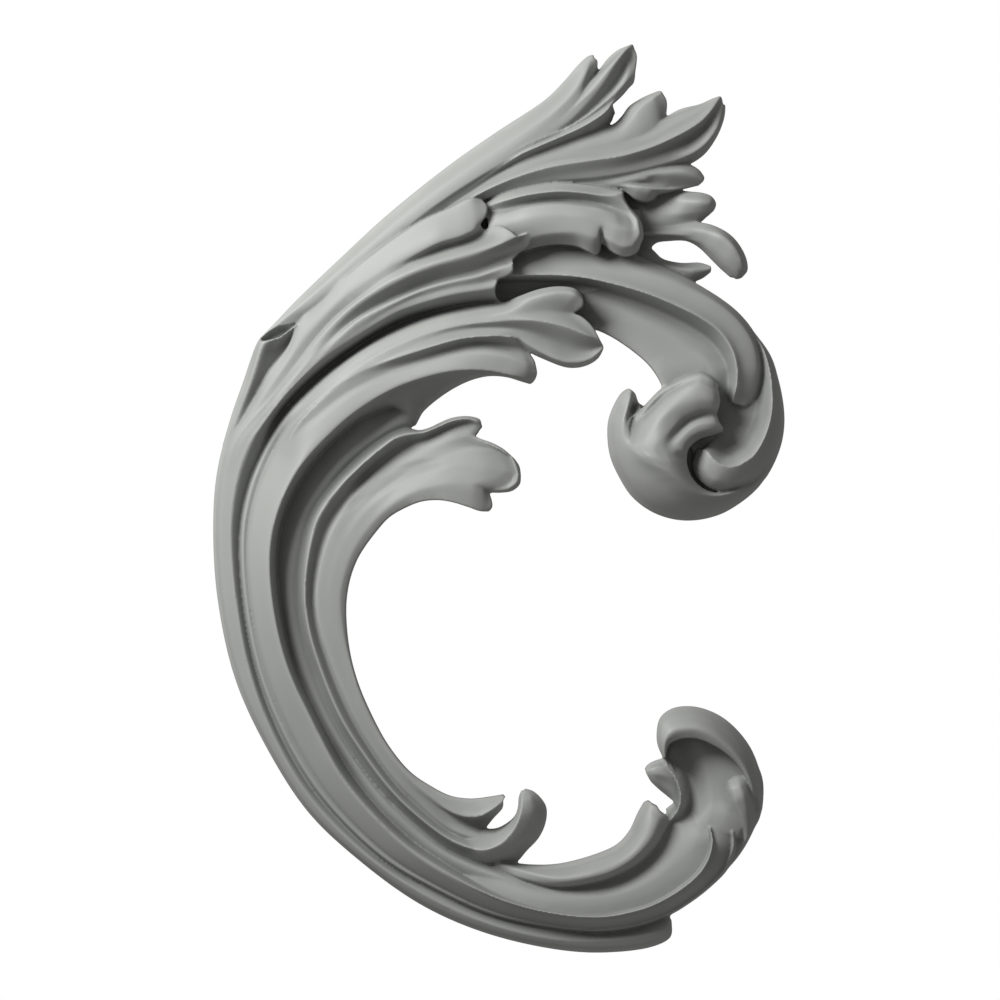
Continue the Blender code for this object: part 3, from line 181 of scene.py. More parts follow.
def loft(lines, sharp=(), ends=None, starts=None):
    """A sheet across several rails: sample u runs along the rails and sample v across them. On the
    sheet v is straight from rail to rail; the relief is a cubic that rounds every rail but the sharp
    ones. ends and starts bend the edge of a strip at its last or first sample, by pull_ends."""
    count = max(int(max(line_length(p) for p in lines) / STEP), FEWEST_ALONG)
    rails = np.stack([rail(p, count) for p in lines], axis=1)
    gap = np.maximum(np.linalg.norm(np.diff(rails[:, :, :2], axis=1), axis=2), LEAST_GAP)
    rise = np.diff(rails[:, :, 2], axis=1) / gap
    leave = np.concatenate([rise[:, :1], smooth_slopes(gap, rise)], axis=1)
    arrive = np.concatenate([smooth_slopes(gap, rise), rise[:, -1:]], axis=1)
    for i in sharp:
        if 0 < i < len(lines) - 1:
            leave[:, i] = rise[:, i]
            arrive[:, i - 1] = rise[:, i - 1]
    strips = []
    for i in range(len(lines) - 1):
        across = max(int(gap[:, i].max() / STEP), FEWEST_ACROSS)
        t = np.linspace(0, 1, across + 1)
        if i < len(lines) - 2:
            t = t[:-1]
        near, far = rails[:, i, None, :], rails[:, i + 1, None, :]
        strip = near * (1 - t)[None, :, None] + far * t[None, :, None]
        strip[..., 2] = cubic(t[None], gap[:, i, None], near[..., 2], far[..., 2],
                              leave[:, i, None], arrive[:, i, None])
        middle = strip[:, across // 2, :2]
        run = np.concatenate([[0], np.cumsum(np.linalg.norm(np.diff(middle, axis=0), axis=1))])
        if ends and i in ends:
            strip = pull_ends(strip, run[-1] - run, rails[-1, i], rails[-1, i + 1], ends[i], t)
        if starts and i in starts:
            strip = pull_ends(strip, run, rails[0, i], rails[0, i + 1], starts[i], t)
        strips.append(strip)
    return np.concatenate(strips, axis=1)


# Stations of the stem, shared by the lines that run its whole length. Each point is
# (right, down, relief) on the drawing sheet, from the lower end up to the spray.
BEAD_EDGE = [
    (672, 921, 4), (671, 937, 4), (654, 946.7, 4.5), (600, 953, 5), (548, 948.5, 5), (480, 931.5, 5),
    (420, 904.5, 5), (360, 861.5, 5), (309, 813.5, 5), (269.5, 753.5, 5), (235.3, 680, 5),
    (217.5, 600, 5), (213, 530, 5.5), (216.5, 475, 6.5), (227, 436, 9)]
BEAD_CREST = [
    (670, 918, 5), (667, 927, 8), (648, 935, 9.5), (600, 941, 10), (550, 938.5, 10.5), (484, 922, 10.5),
    (425, 895, 11), (366, 855, 11), (314, 803, 11), (280, 749, 11), (252, 680, 11.5), (236, 600, 12),
    (231, 525, 12.5), (238, 476, 13.5), (252, 440, 15)]
BEAD_FOOT = [
    (670, 914, 4), (660, 920, 5.5), (640, 928, 6), (600, 933.5, 6.5), (550, 929, 7), (490, 916, 7),
    (430, 889, 7.5), (381, 860, 7.5), (325, 806, 7.5), (289, 753, 7.5), (258, 680, 7.5), (242, 600, 8),
    (239, 530, 8), (247, 485, 8.5), (262, 446, 9)]
RIB_FOOT = [
    (735.8, 831, 12.5), (736.6, 846, 11), (728, 869, 7), (710, 888, 5.5), (690, 903.5, 5), (671, 915, 5),
    (640, 927, 5.5), (600, 932.5, 6), (550, 928, 6.5), (490, 915, 6.5), (430, 888, 7), (381, 859, 7),
    (325, 805, 7), (289, 752, 7), (258, 679, 7), (242, 600, 7.5), (239, 530, 7.5), (247, 485, 7),
    (262, 446, 6.5)]
RIB_CREST = [
    (710.5, 826, 14.5), (713, 840, 16), (710, 856, 16.5), (700, 873, 17), (680, 890, 17), (655, 904, 17),
    (635, 911, 17), (600, 917, 17), (550, 912.5, 17.5), (496, 897.5, 17.5), (440, 869, 18),
    (398, 838, 18), (346, 781, 18), (312, 719, 18.5), (287, 663, 19), (273, 600, 19), (271, 548, 19),
    (280, 508, 19.5), (300, 468, 20)]
WALL_FOOT = [
    (707, 826, 12), (709, 840, 14), (706, 855, 15), (696, 871, 15.5), (677, 887, 15.5), (653, 901, 15.5),
    (635, 907, 15.5), (600, 913, 15), (550, 909, 14), (498, 894, 12), (445, 864, 8), (403, 833, 4.5),
    (353, 777, 3.5), (319, 717, 3.5), (293.5, 661, 3.5), (280, 600, 3), (278, 548, 3), (287, 508, 3),
    (306, 474, 3)]
TROUGH_FOOT = [
    (540, 905, 10), (503, 895, 8), (460, 878, 6), (428, 860, 4.5), (396, 835, 3.5), (363, 801, 3.5),
    (336, 759, 3.5), (311, 720, 3.5), (291, 675, 3.5), (278, 625, 3.5), (272, 575, 3.5), (279, 520, 3.5),
    (294, 485, 3.5)]
TROUGH_RIDGE = [
    (540, 892, 12), (510, 882, 11), (470, 866, 9), (440, 851, 8), (405, 823, 7.4), (378, 794, 7.4),
    (350, 755, 7.4), (328, 719, 7.4), (307, 674, 7.4), (294, 625, 7.4), (290, 580, 7.4), (302, 523, 7.6),
    (318, 492, 7.8)]
TROUGH_VALLEY = [
    (530, 878, 8), (503, 868, 7), (472, 861, 7), (446, 849, 6.5), (411, 821, 6.5), (385, 797, 6.5),
    (357, 762, 6.5), (334, 722, 6.5), (315, 674, 6.5), (301, 625, 6.5), (298, 580, 6.5), (308, 520, 7),
    (325, 492, 7)]
INNER_CREST = [
    (483, 849.5, 15), (475, 848.5, 14.5), (463, 845, 14), (445, 836, 13.5), (414, 812, 13.5),
    (392, 790, 13.5), (366, 756, 13.5), (342, 719, 13.5), (321, 670, 13.5), (308, 625, 13.5),
    (305, 585, 14), (317, 520, 14.5), (340, 486, 15)]
BAND_START = [
    (484, 838, 9.5), (476, 837.5, 9.5), (463, 834, 9.5), (445, 825, 9), (420, 804, 9), (398, 782, 9.5),
    (373, 748, 10), (352, 710, 10.6), (334, 668, 11), (320, 625, 11.2), (317, 590, 11.3),
    (329, 540, 11.3), (350, 503, 11)]
INNER_EDGE = [
    (504, 794.5, 9), (490, 797, 9.5), (470, 799, 9), (450, 796, 9), (430, 786, 9), (410, 772, 9.5),
    (390, 748, 10), (375, 722, 10), (357, 680, 10.5), (348, 640, 10.5), (347, 595, 10.5), (357, 560, 11),
    (380, 527, 12)]
LEAF_CREST = [
    (300, 422, 17.5), (320, 402, 18.5), (340, 386), (360, 373, 20), (380, 364.5, 21), (400, 357.5, 22),
    (420, 351)]

# Lines shared by the scroll's round underside and the leaf that grows out of it.
SCROLL_FOOT = [
    (763, 474, 12.5), (754, 483, 13), (742, 487.5, 15), (730, 492.5, 17), (717, 495.5, 19),
    (702, 495.5, 21.5), (688, 491, 24), (674, 483, 26), (661, 474.5, 27), (649, 466, 27), (638, 457, 26),
    (630, 447, 23.3)]
EYE_EDGE = [
    (762, 473, 12), (753.5, 481.5, 12), (742, 486, 13.5), (730, 491, 15), (718, 492.7, 16.5),
    (708, 491, 18.5), (700, 486.5, 20.5), (694, 481, 22), (690, 475, 23), (687.5, 469, 23.6),
    (686, 462.5, 24), (686, 457, 24.2)]


def domed(first, second, share, slope=0.1):
    """A line between two others that arches above both, higher where they lie further apart."""
    line = []
    for p, q in zip(first, second):
        arch = slope * math.hypot(p[0] - q[0], p[1] - q[1]) * 4 * share * (1 - share)
        right, down, relief = (a + (b - a) * share for a, b in zip(p, q))
        line.append((right, down, relief + arch))
    return line


def front_spray():
    """The outer bead of the stem, which widens upwards into the spray of four curled tips."""
    edge = BEAD_EDGE + [
        (242, 417, 11), (255, 396, 12), (269, 372), (288, 347, 14), (300, 322, 15), (320, 302, 16),
        (350, 274, 18), (380, 250), (420, 223, 21), (450, 209), (470, 200, 22), (482, 200.5, 19.5)]
    brink = between(BEAD_EDGE, BEAD_CREST, 0.25, 1.2) + [
        (260, 403, 14.2), (285, 368), (325, 318, 18.2), (365, 283.5), (400, 263.5, 23.4),
        (420, 253, 24.6), (440, 243.5, 25.4), (460, 237.5, 25.4), (473, 231.5, 24.8), (480, 225.5, 23)]
    first_groove = between(BEAD_EDGE, BEAD_CREST, 0.3, 1.2) + [
        (262, 406, 14.5), (290, 370), (330, 322, 18), (370, 288), (402, 268, 22.9), (422, 258, 21.9),
        (440, 249.5, 20.8), (460, 243.5, 20.4), (475, 237, 20.2), (484, 231, 20)]
    second_crest = between(BEAD_EDGE, BEAD_CREST, 0.5, 1.2) + [
        (264, 410, 15), (295, 375), (330, 330, 19.5), (355, 306, 21.5), (380, 290, 23.5),
        (410, 275, 25.5), (440, 264), (470, 256, 26.5), (500, 246, 26.5), (517, 238, 26)]
    second_valley = between(BEAD_EDGE, BEAD_CREST, 0.66, 1.0) + [
        (266, 413), (297, 377), (330, 340, 19), (350, 324, 18.8), (370, 311, 18.6), (400, 296, 19),
        (430, 284.5), (470, 274, 20), (495, 266), (511, 262, 20)]
    third_crest = between(BEAD_EDGE, BEAD_CREST, 0.78, 0.8) + [
        (268, 415), (299, 379), (335, 343, 20), (360, 320, 21.5), (380, 309.5, 22.5), (400, 300.5, 23.2),
        (430, 288.5), (455, 282, 23.5), (480, 277), (500, 270), (513, 266, 23)]
    third_valley = between(BEAD_EDGE, BEAD_CREST, 0.9, 0.4) + [
        (270, 417), (300, 381), (338, 344, 20), (370, 323, 21), (400, 305.5, 22.2), (430, 294.5),
        (455, 288, 22.5), (480, 284), (498, 280, 21.5)]
    rolled_edge = BEAD_CREST + [
        (266, 420, 16), (281, 400, 17), (300, 380, 18), (330, 355), (360, 335, 20), (380, 322),
        (400, 311, 22), (430, 300.5), (455, 294, 23), (480, 290), (496, 287, 22.5)]
    foot = between(BEAD_CREST, BEAD_FOOT, 1.45) + [
        (276, 421, 6), (295, 397), (320, 374, 5.5), (350, 352), (380, 333, 6), (410, 319, 7),
        (450, 309, 9), (480, 304), (502, 303, 11)]
    rails = [edge, brink, first_groove, second_crest, second_valley, third_crest, third_valley,
             rolled_edge, foot]
    ends = {0: [(487.5, 208), (486, 217)], 2: [(490, 228.5), (500, 227.5), (509, 231.5)],
            3: [(531, 235, 22), (529, 246, 21), (519, 254, 20)], 4: [(513, 262)],
            5: [(513, 272), (507, 277)], 7: [(495, 292), (497, 298)]}
    return loft(rails, ends=ends)


def split_leaf():
    """The first half of the stem's inner rib, opening into the leaf with two rounded lobes."""
    edge = RIB_FOOT + [
        (276, 421), (295, 397, 5.5), (320, 374), (350, 352, 5.5), (380, 333), (410, 319, 7),
        (450, 308, 9), (480, 303.5, 11), (505, 302, 13), (518, 297, 16), (540, 289.5, 18),
        (560, 287, 19), (575, 289.5, 19.5), (582, 296, 19)]
    first_crest = between(RIB_FOOT, RIB_CREST, 0.16, 4.4) + [
        (288, 419), (306, 401, 14.5), (335, 374, 16), (365, 352, 17), (400, 334, 17.5), (440, 319, 18),
        (480, 312.5, 19), (510, 308, 21), (530, 300, 23), (555, 294.5, 24), (572, 295, 24),
        (583, 301, 22)]
    groove = between(RIB_FOOT, RIB_CREST, 0.26, 1.0) + [
        (292, 420), (310, 402, 16), (340, 377, 18), (370, 357), (400, 341, 19.5), (440, 325, 20),
        (480, 318, 20.8), (520, 312, 23), (545, 311.5, 22.5), (560, 313, 21.5), (573, 314, 20)]
    second_crest = between(RIB_FOOT, RIB_CREST, 0.34, 1.0) + [
        (294, 421), (313, 402, 17), (345, 377, 19), (380, 354.5), (420, 337, 21), (460, 326.5, 21.5),
        (500, 322, 22.5), (530, 321, 24.5), (560, 326, 25), (585, 335, 24.5), (600, 341, 22)]
    scoop = between(RIB_FOOT, RIB_CREST, 0.42, 1.0) + [
        (297, 422), (316, 403, 17.8), (348, 379, 19.5), (385, 357), (420, 341.5, 21), (460, 330.5, 20.5),
        (500, 328.5, 20.2), (520, 331, 20.2), (545, 340, 19.5), (570, 350, 18.5), (588, 351, 18),
        (603, 346, 18)]
    rim = between(RIB_FOOT, RIB_CREST, 0.46, 1.0) + [
        (298, 422), (318, 402.5), (352, 378, 19.8), (390, 358.5), (430, 342, 21.5), (460, 335, 21.4),
        (490, 332.3, 21.4), (512, 334, 21.2), (530, 346, 21), (550, 357, 21), (568, 362.5, 20.5),
        (588, 360, 20), (603, 349, 19)]
    lower_edge = between(RIB_FOOT, RIB_CREST, 0.5, 1.0) + LEAF_CREST + [
        (441, 346, 22.4), (460, 341, 22.6), (480, 338.5, 23), (500, 338, 22.8), (514, 339, 21),
        (528, 351, 17), (545, 359.5), (568, 367.5, 16.5), (585, 366), (598, 358.5, 16.5), (604, 348, 17)]
    rails = [edge, first_crest, groove, second_crest, scoop, rim, lower_edge]
    ends = {1: [(583, 306), (578, 311)], 2: [(581, 317), (592, 327)]}
    return loft(rails, sharp=(3, 6), ends=ends)


def lower_leaf():
    """The second half of the inner rib: its high crest, its steep inner wall and the leaf it ends in."""
    crest = between(RIB_FOOT, RIB_CREST, 0.5, 1.0) + LEAF_CREST + [
        (441, 344, 23), (460, 339), (480, 336.5, 23.5), (500, 336), (513, 337, 23)]
    valley = between(RIB_FOOT, RIB_CREST, 0.62, 1.0) + [
        (304, 426, 17.5), (324, 408, 18.5), (346, 392), (370, 379, 19.5), (400, 367, 19), (430, 357.5),
        (450, 350.5, 18), (480, 344.5, 17.5), (505, 347, 17), (520, 350, 17), (529, 353, 16)]
    face = between(RIB_FOOT, RIB_CREST, 0.8, 1.0) + [
        (311, 433, 19), (332, 414, 19.8), (360, 393, 20.3), (400, 375, 20.5), (440, 361, 20.5),
        (480, 355, 20.5), (510, 359, 20), (525, 364, 19), (536.3, 368, 16)]
    rib = RIB_CREST + [
        (330, 434, 20.5), (360, 408.5, 21), (400, 386, 21.5), (450, 372, 22), (486, 371, 21),
        (512, 376, 19.5), (524, 378.5, 17.5), (535.5, 379, 14)]
    brink = between(RIB_CREST, WALL_FOOT, 0.28, 3.4) + [
        (331.5, 436.5, 18.3), (362, 411, 18.8), (401, 389, 19.2), (450, 374, 19.8), (486, 372.6, 19),
        (512, 377.4, 17.4), (524, 379.9, 15.4), (534.5, 380.3, 12.4)]
    wall_foot = WALL_FOOT + [
        (334, 441, 3), (366, 417, 3), (397, 410, 3), (407, 421, 3.5), (414, 426, 3.5), (423, 412, 3.5),
        (440, 397.3, 3.5), (457, 386.5, 3.5), (473, 379.5, 4), (490, 376, 5), (507, 377.2),
        (520, 381, 7), (530, 384, 9)]
    ends = {0: [(522, 343)], 1: [(534.5, 361)], 2: [(537.2, 373.5)], 4: [(532.6, 382.6)]}
    return loft([crest, valley, face, rib, brink, wall_foot], ends=ends)


def trough():
    """The sunk channel beside the rib, with one low ridge along it that ends in a small knob."""
    foot = TROUGH_FOOT + [(314, 453, 3.5), (340, 424, 3.5), (370, 400, 3.5), (400, 387, 3.5), (432, 380, 4)]
    ridge = TROUGH_RIDGE + [
        (345, 460, 8.5), (370, 440, 8), (388, 428, 8.5), (399, 422, 8.6), (405, 422, 8), (411, 423, 6)]
    valley = TROUGH_VALLEY + [
        (350, 464, 6.5), (375, 443, 6.5), (395, 432, 6.5), (407, 427.5, 5.5), (412, 427, 4.5)]
    return loft([foot, ridge, valley])


def inner_band():
    """The broad flat inner band of the stem, from its lower lobe to the three-lobed leaf inside the
    scroll. A thin crest runs along its outer side, with a sunk groove between them."""
    border = [
        (350, 464, 6.5), (375, 443, 6.5), (395, 431, 6.5), (405, 427.5, 6), (413, 429, 5), (420, 430, 5),
        (430, 427.3, 6), (440, 422.5, 7.5), (450, 418.3, 9), (460, 416.3, 10), (470, 416.2, 10),
        (478, 418, 10)]
    crest = INNER_CREST + [
        (357, 469, 15), (376, 452, 14.5), (395, 438, 14), (411, 433.5, 12.5), (422, 432.5, 12.5),
        (432, 429, 13), (441, 425, 13.5), (451, 420.8, 14.5), (461, 418.8, 15), (470, 418.8, 15),
        (477, 420.5, 15), (481.5, 424, 13)]
    edge = between(TROUGH_VALLEY[2:], INNER_CREST[2:], -0.3) + border
    wall = between(TROUGH_VALLEY[2:] + border, crest[2:], 0.6, -1.6)[:-1] + [(481, 421.3, 11.5)]
    hollow = between(INNER_CREST, BAND_START, 0.7, -2.6) + [
        (366, 475, 7.8), (387, 458, 7.5), (407, 446, 7.5), (425, 439, 8), (440, 432, 9),
        (455, 426, 10.5), (468, 423.5, 12), (476, 426, 12.8), (480, 429.5, 12)]
    start = BAND_START + [
        (370, 484, 10.2), (392, 468, 9.4), (415, 456, 9.6), (438, 447, 10.4), (458, 439, 11.4),
        (470, 435.3, 12.2), (475, 436.3, 11.5)]
    pocket = [
        (486, 828, 4), (478, 824.5, 5), (466, 821, 7), (448, 813, 9), (427, 799, 9.4), (403, 777, 9.9),
        (377.5, 744.5, 10.3), (357, 707.5, 10.8), (341, 666, 11.2), (328, 625, 11.5), (325, 590, 11.6),
        (337, 545, 11.7), (358, 508, 11.6), (377, 490, 11), (400, 475, 10.6), (425, 464, 11),
        (450, 456, 12.2), (478, 449.5, 12.6), (500, 452.5, 12.4), (508.5, 455.3, 12.4),
        (511.5, 456.8, 14.4), (514.5, 458.6, 12.2)]
    lip = [
        (503, 799, 12), (497, 806, 13), (489, 812.5, 13.5), (477, 817.5, 13), (461, 816, 12),
        (438, 801, 11), (407, 774, 10.7), (381.5, 741.5, 10.8), (361, 705, 11), (347, 663, 11.4),
        (335.5, 624, 11.8), (332, 590, 11.9), (344, 548, 12.1), (366, 514, 12.5), (390, 494, 12.6),
        (420, 478, 13.4), (450, 470, 14.6), (480, 468.5, 15), (505, 471.5, 13.6), (514.5, 473.5, 12.6),
        (518, 474.3, 14.4), (521, 475, 12.2)]
    face = [
        (504, 797, 10.5), (494, 801, 11), (478, 806, 10.8), (458, 804, 10.3), (436, 793.5, 10),
        (408.5, 772.5, 10.2), (383.5, 740, 10.6), (364, 704, 11), (351, 662, 11.4), (341.5, 623, 11.8),
        (340, 590, 12), (352, 551, 12.4), (374, 520, 13.2), (394, 503, 14), (420, 490, 15),
        (448, 484, 16), (470, 484.5, 16.3), (482, 488, 15), (489, 492.5, 12)]
    inner = INNER_EDGE + [
        (390, 516.8, 12.5), (405, 508, 13), (420, 502, 14), (436, 500.1, 14.5), (450, 501.7, 15),
        (468, 507, 14.6), (480, 511.2, 13.4), (489, 511.6, 11.5)]
    rails = [edge, wall, crest, hollow, start, pocket, lip, face, inner]
    ends = {0: [(480, 419.4)], 2: [(482.2, 427)], 3: [(478, 433)],
            4: [(482, 439.3), (492, 442.7), (503.5, 449)], 5: [(519.4, 466)],
            6: [(520, 484), (512.5, 490.8), (500, 492.8)], 7: [(491.5, 499), (492.3, 507)]}
    starts = {5: [(494, 818), (503, 807)], 6: [(506, 797)]}
    return loft(rails, ends=ends, starts=starts)


def hook():
    """The small curled hook that springs from the stem beside the inner band's end."""
    outer = [
        (452, 856, 5), (468, 861, 6), (485, 863.5, 7), (503, 863, 6), (516, 862.5, 4), (527, 851, 4),
        (539, 838, 4), (546, 822, 4), (546.5, 808, 4), (541.5, 799, 5), (533, 791.5, 6), (525, 789, 7)]
    flank = [
        (456, 849, 6.5), (471, 855.5, 9), (487, 856.5, 12.5), (503, 851.5, 13), (517, 842, 13),
        (527, 828, 13), (532, 813, 13), (530, 800, 12), (525, 790.5, 8)]
    crest = [
        (452, 838, 9), (468, 846.5, 13.6), (484, 849, 15.5), (500, 843, 16), (511, 832, 16),
        (518, 819, 16), (521, 807, 15), (521.5, 799, 13), (523.5, 790.5, 8)]
    scoop = [
        (452, 830, 5), (468, 837, 8.2), (482, 838, 10), (497, 834, 10), (508, 826, 10), (515, 817, 10),
        (518.5, 807, 9.5), (520, 798, 9), (522, 791, 8)]
    inner = [
        (452, 824, 4.5), (468, 831, 6.2), (485, 829.5, 6), (497, 828.5, 5), (507, 823.5, 5),
        (515, 816, 5), (518, 807, 6), (518.7, 798, 7), (521, 791.5, 7)]
    return loft([outer, flank, crest, scoop, inner], sharp=(2,))


def plateau():
    """The flat inside of the rib along the foot of the scroll, from its crest to the dark channel."""
    crest = [
        (711, 828, 14.3), (713, 840, 15.5), (710, 856, 16), (700, 873, 16.5), (680, 890, 16.5),
        (655, 904, 16.5), (635, 911, 16.5), (600, 917, 16.5), (550, 912.5, 16), (496, 897.5, 13),
        (450, 872, 5)]
    middle = [
        (708, 822, 12.6), (700, 836, 14.4), (686, 855, 15), (663, 874, 15.4), (640, 887, 15.5),
        (600, 898, 15.3), (560, 897, 14.5), (520, 888, 12.5), (480, 872, 8.5), (450, 858, 5)]
    foot = [
        (692, 800, 7), (677, 822, 10.4), (662, 843, 11.4), (644, 862, 11.8), (625, 875, 12),
        (600, 883, 12), (560, 886, 11), (520, 879, 9.5), (490, 869, 7.5), (458, 857, 5)]
    under = [
        (684, 800, 6.5), (669, 818, 9.6), (656, 840, 10.8), (638, 858, 11.2), (620, 869, 11.4),
        (598, 877, 11.2), (560, 881, 9.5), (520, 875, 8.5), (490, 866, 7), (460, 855, 5)]
    return loft([crest, middle, foot, under])


def edge_band():
    """The raised band along the inside edge of the foot, ending in a rounded lobe."""
    foot = [
        (671, 821.5, 10.5), (658.5, 845, 11), (640, 864, 11.2), (620, 875, 11.2), (600, 882, 11),
        (560, 888, 9.5), (520, 881, 8.5), (490, 869, 6.5)]
    crest = [
        (668, 820.5, 13), (654.5, 843.5, 15.5), (637.5, 861, 16), (619, 872, 16), (600, 879, 16),
        (560, 884.5, 15), (525, 877.5, 12), (495, 864, 8)]
    back = [
        (660, 811, 15.5), (655, 823, 17.5), (648, 838, 18.5), (632.5, 855, 19), (615, 866.5, 19),
        (598, 872.5, 19), (560, 878, 17), (525, 871, 12), (497, 862, 8)]
    shoulder = [
        (652, 803.5, 14.5), (647, 815, 15.8), (639, 833, 16.3), (624, 849, 16), (596, 861, 15.2),
        (560, 870, 13.5), (530, 868, 9), (500, 862, 6)]
    edge = [
        (644, 802.5, 8), (638, 813, 7), (629.5, 831, 6), (618, 844, 6), (600, 853, 6), (560, 864, 6),
        (530, 865, 5), (500, 861, 4)]
    starts = {0: [(670.5, 819.5)], 1: [(665.3, 815)], 2: [(657, 806)], 3: [(648.5, 800.7)]}
    return loft([foot, crest, back, shoulder, edge], starts=starts)


def cup():
    """The hollow of the lower curl, from its left rim across the floor to the outer wall."""
    left_rim = [
        (663, 757, 11), (667, 766, 12.5), (674, 776, 14), (678.5, 789, 14.5), (679.5, 800, 14.5),
        (676, 811, 14), (669, 820, 12), (652, 846, 6)]
    rim_side = [
        (667, 748, 8), (672, 764, 9.5), (680, 776, 11.5), (684.5, 789, 12), (685, 802, 12),
        (680.5, 814, 11), (672.5, 826, 8.5), (655, 850, 6)]
    valley = [
        (673, 738, 8.5), (681, 758, 8), (689, 776, 8), (691, 790, 8.2), (689.5, 805, 8.4),
        (681, 825, 8.5), (669, 843, 8.5), (655, 858, 8.5)]
    floor = [
        (695, 730, 11), (703, 756, 11), (710, 778, 11.5), (712, 797, 12.3), (710, 812, 13.2),
        (706, 828, 13.6)]
    rise = [
        (720, 738, 11.5), (727, 762, 12.3), (730, 785, 13), (730, 803, 14), (727, 815, 14.8),
        (721.5, 831, 14.6)]
    wall = [
        (745, 765, 11.5), (748, 780, 12.8), (751, 795, 13.8), (748.5, 812, 14.2), (742, 824, 14.2),
        (736, 836, 13.6)]
    edge = [
        (757, 762, 5), (763, 780, 5), (763.5, 800, 5), (760, 818, 5), (755, 828, 5), (749, 840, 5)]
    return loft([left_rim, rim_side, valley, floor, rise, wall, edge])


def cup_foot():
    """The strip of the cup's wall that runs down beside the end of the rib."""
    near = [(732, 827, 12.8), (734, 838, 10.8), (734, 847, 9.6), (731, 856, 8.4), (725, 866, 6.4)]
    middle = [(745, 822, 13), (746, 833, 12), (743.5, 845, 10.4), (738, 855, 8.8), (731, 865, 7.2)]
    edge = [(758, 822, 5), (755, 828, 5), (747, 844, 5), (738, 857.5, 5), (729, 868, 5)]
    return loft([near, middle, edge])


def hood():
    """The thick rolled hood over the top of the lower curl."""
    outer = [
        (663.5, 759, 12), (657.8, 745, 12), (657, 732, 11), (660.5, 718, 9), (672, 709, 7),
        (690, 706.5, 6), (710, 711, 5), (730, 723, 5), (750, 746.5, 5), (761, 775, 5), (763.5, 798, 5),
        (762.5, 810, 5)]
    shoulder = [
        (663.8, 758, 16), (661, 747, 18), (660.5, 735, 19), (664, 724, 18.5), (674, 717, 17),
        (690, 714.5, 15.5), (708, 719, 15), (726, 731, 14.5), (743, 751, 14.5), (753.5, 776, 14),
        (758, 798, 11), (759.5, 810, 8)]
    crest = [
        (664.5, 757, 18), (664, 748, 20.5), (665.5, 738, 22), (672, 731, 22.5), (683, 728, 22.5),
        (697, 728.5, 22.4), (712, 735, 21.8), (727, 746.5, 20.6), (739, 760, 19), (748, 776, 17),
        (753.5, 794, 13.5), (757, 808, 9)]
    lip = [
        (665.5, 756, 16.5), (666.5, 749, 18.5), (669, 743, 19.8), (676, 739, 20.6), (686, 737, 20.8),
        (698, 738.2, 20.6), (712, 744, 20), (725, 752.5, 18.8), (736, 763, 17), (745, 777, 14.8),
        (751, 794, 12.5), (754.5, 806, 9)]
    return loft([outer, shoulder, crest, lip])


def side_lobe():
    """The small lobe on the left rim of the cup, with a thin rim along its top."""
    upper = [(668, 757.5, 9), (660, 759.5, 9), (653, 762, 9), (647.5, 765.5, 9), (645, 769, 9)]
    ledge = [(671, 763, 10.5), (661, 763, 10), (654, 764.8, 10), (649, 767.2, 10.2), (645.5, 770, 10)]
    bead = [
        (675, 770, 11.6), (665, 767, 12.8), (656, 766.8, 13.2), (650.5, 769, 12.8), (645.8, 771.5, 10.5)]
    face = [
        (680, 783, 10.6), (670, 775.5, 13), (661, 772.5, 13.6), (653.5, 772.5, 13.2),
        (646.3, 773.5, 10.5)]
    middle = [(682, 795, 10), (674, 786.5, 11.6), (664, 780.5, 12), (655.5, 777.5, 12.2), (647.5, 776, 10)]
    low = [(682, 803, 10), (675, 796, 10.4), (666, 789.5, 10.4), (657.5, 783.5, 10.5), (649.2, 779, 9)]
    edge = [(679, 808, 9.6), (673, 801, 8.5), (667, 796, 7.6), (659, 789.5, 7), (651, 782, 8)]
    return loft([upper, ledge, bead, face, middle, low, edge])


def leaflet():
    """The pointed leaflet laid on the cup's outer wall."""
    left = [
        (744.5, 843, 11.5), (739.5, 826, 12.5), (734, 811, 14), (730, 799, 15), (728, 789, 15),
        (729, 781, 13.4)]
    bright = [
        (745.5, 841, 12), (742.5, 824, 14.6), (738, 808, 17), (734.5, 797, 18.4), (732, 788, 18),
        (732, 779, 14.2)]
    face = [
        (747.5, 838, 12.5), (746.5, 822, 15), (744, 805, 17.8), (741, 794, 19), (738, 785.5, 18.2),
        (736.5, 776.5, 14.2)]
    low = [
        (750, 835, 11.5), (751, 820, 13.6), (750, 804, 15.8), (747.5, 793, 16.6), (745.5, 785.5, 16),
        (743.5, 775.8, 13.4)]
    crease = [
        (752, 832, 9.5), (755.5, 818, 10.5), (754.5, 804, 12), (752, 793.5, 12.8), (750.5, 786, 12.6),
        (749, 778.5, 12)]
    return loft([left, bright, face, low, crease])


def cup_brow():
    """The thin fold between the leaflet and the outer rim of the cup."""
    near = [(756, 815, 9.5), (755.5, 803, 11), (752, 791, 12.6), (749.5, 783, 13.2), (744, 777, 13)]
    top = [(759.5, 814, 9), (758.5, 801, 11.5), (755, 789.5, 13.8), (751, 780.5, 14.6), (746, 774.5, 13.6)]
    far = [(761.5, 812, 7), (761, 799, 8.5), (757.5, 788, 10.5), (753, 779, 12), (748, 773, 12)]
    return loft([near, top, far])


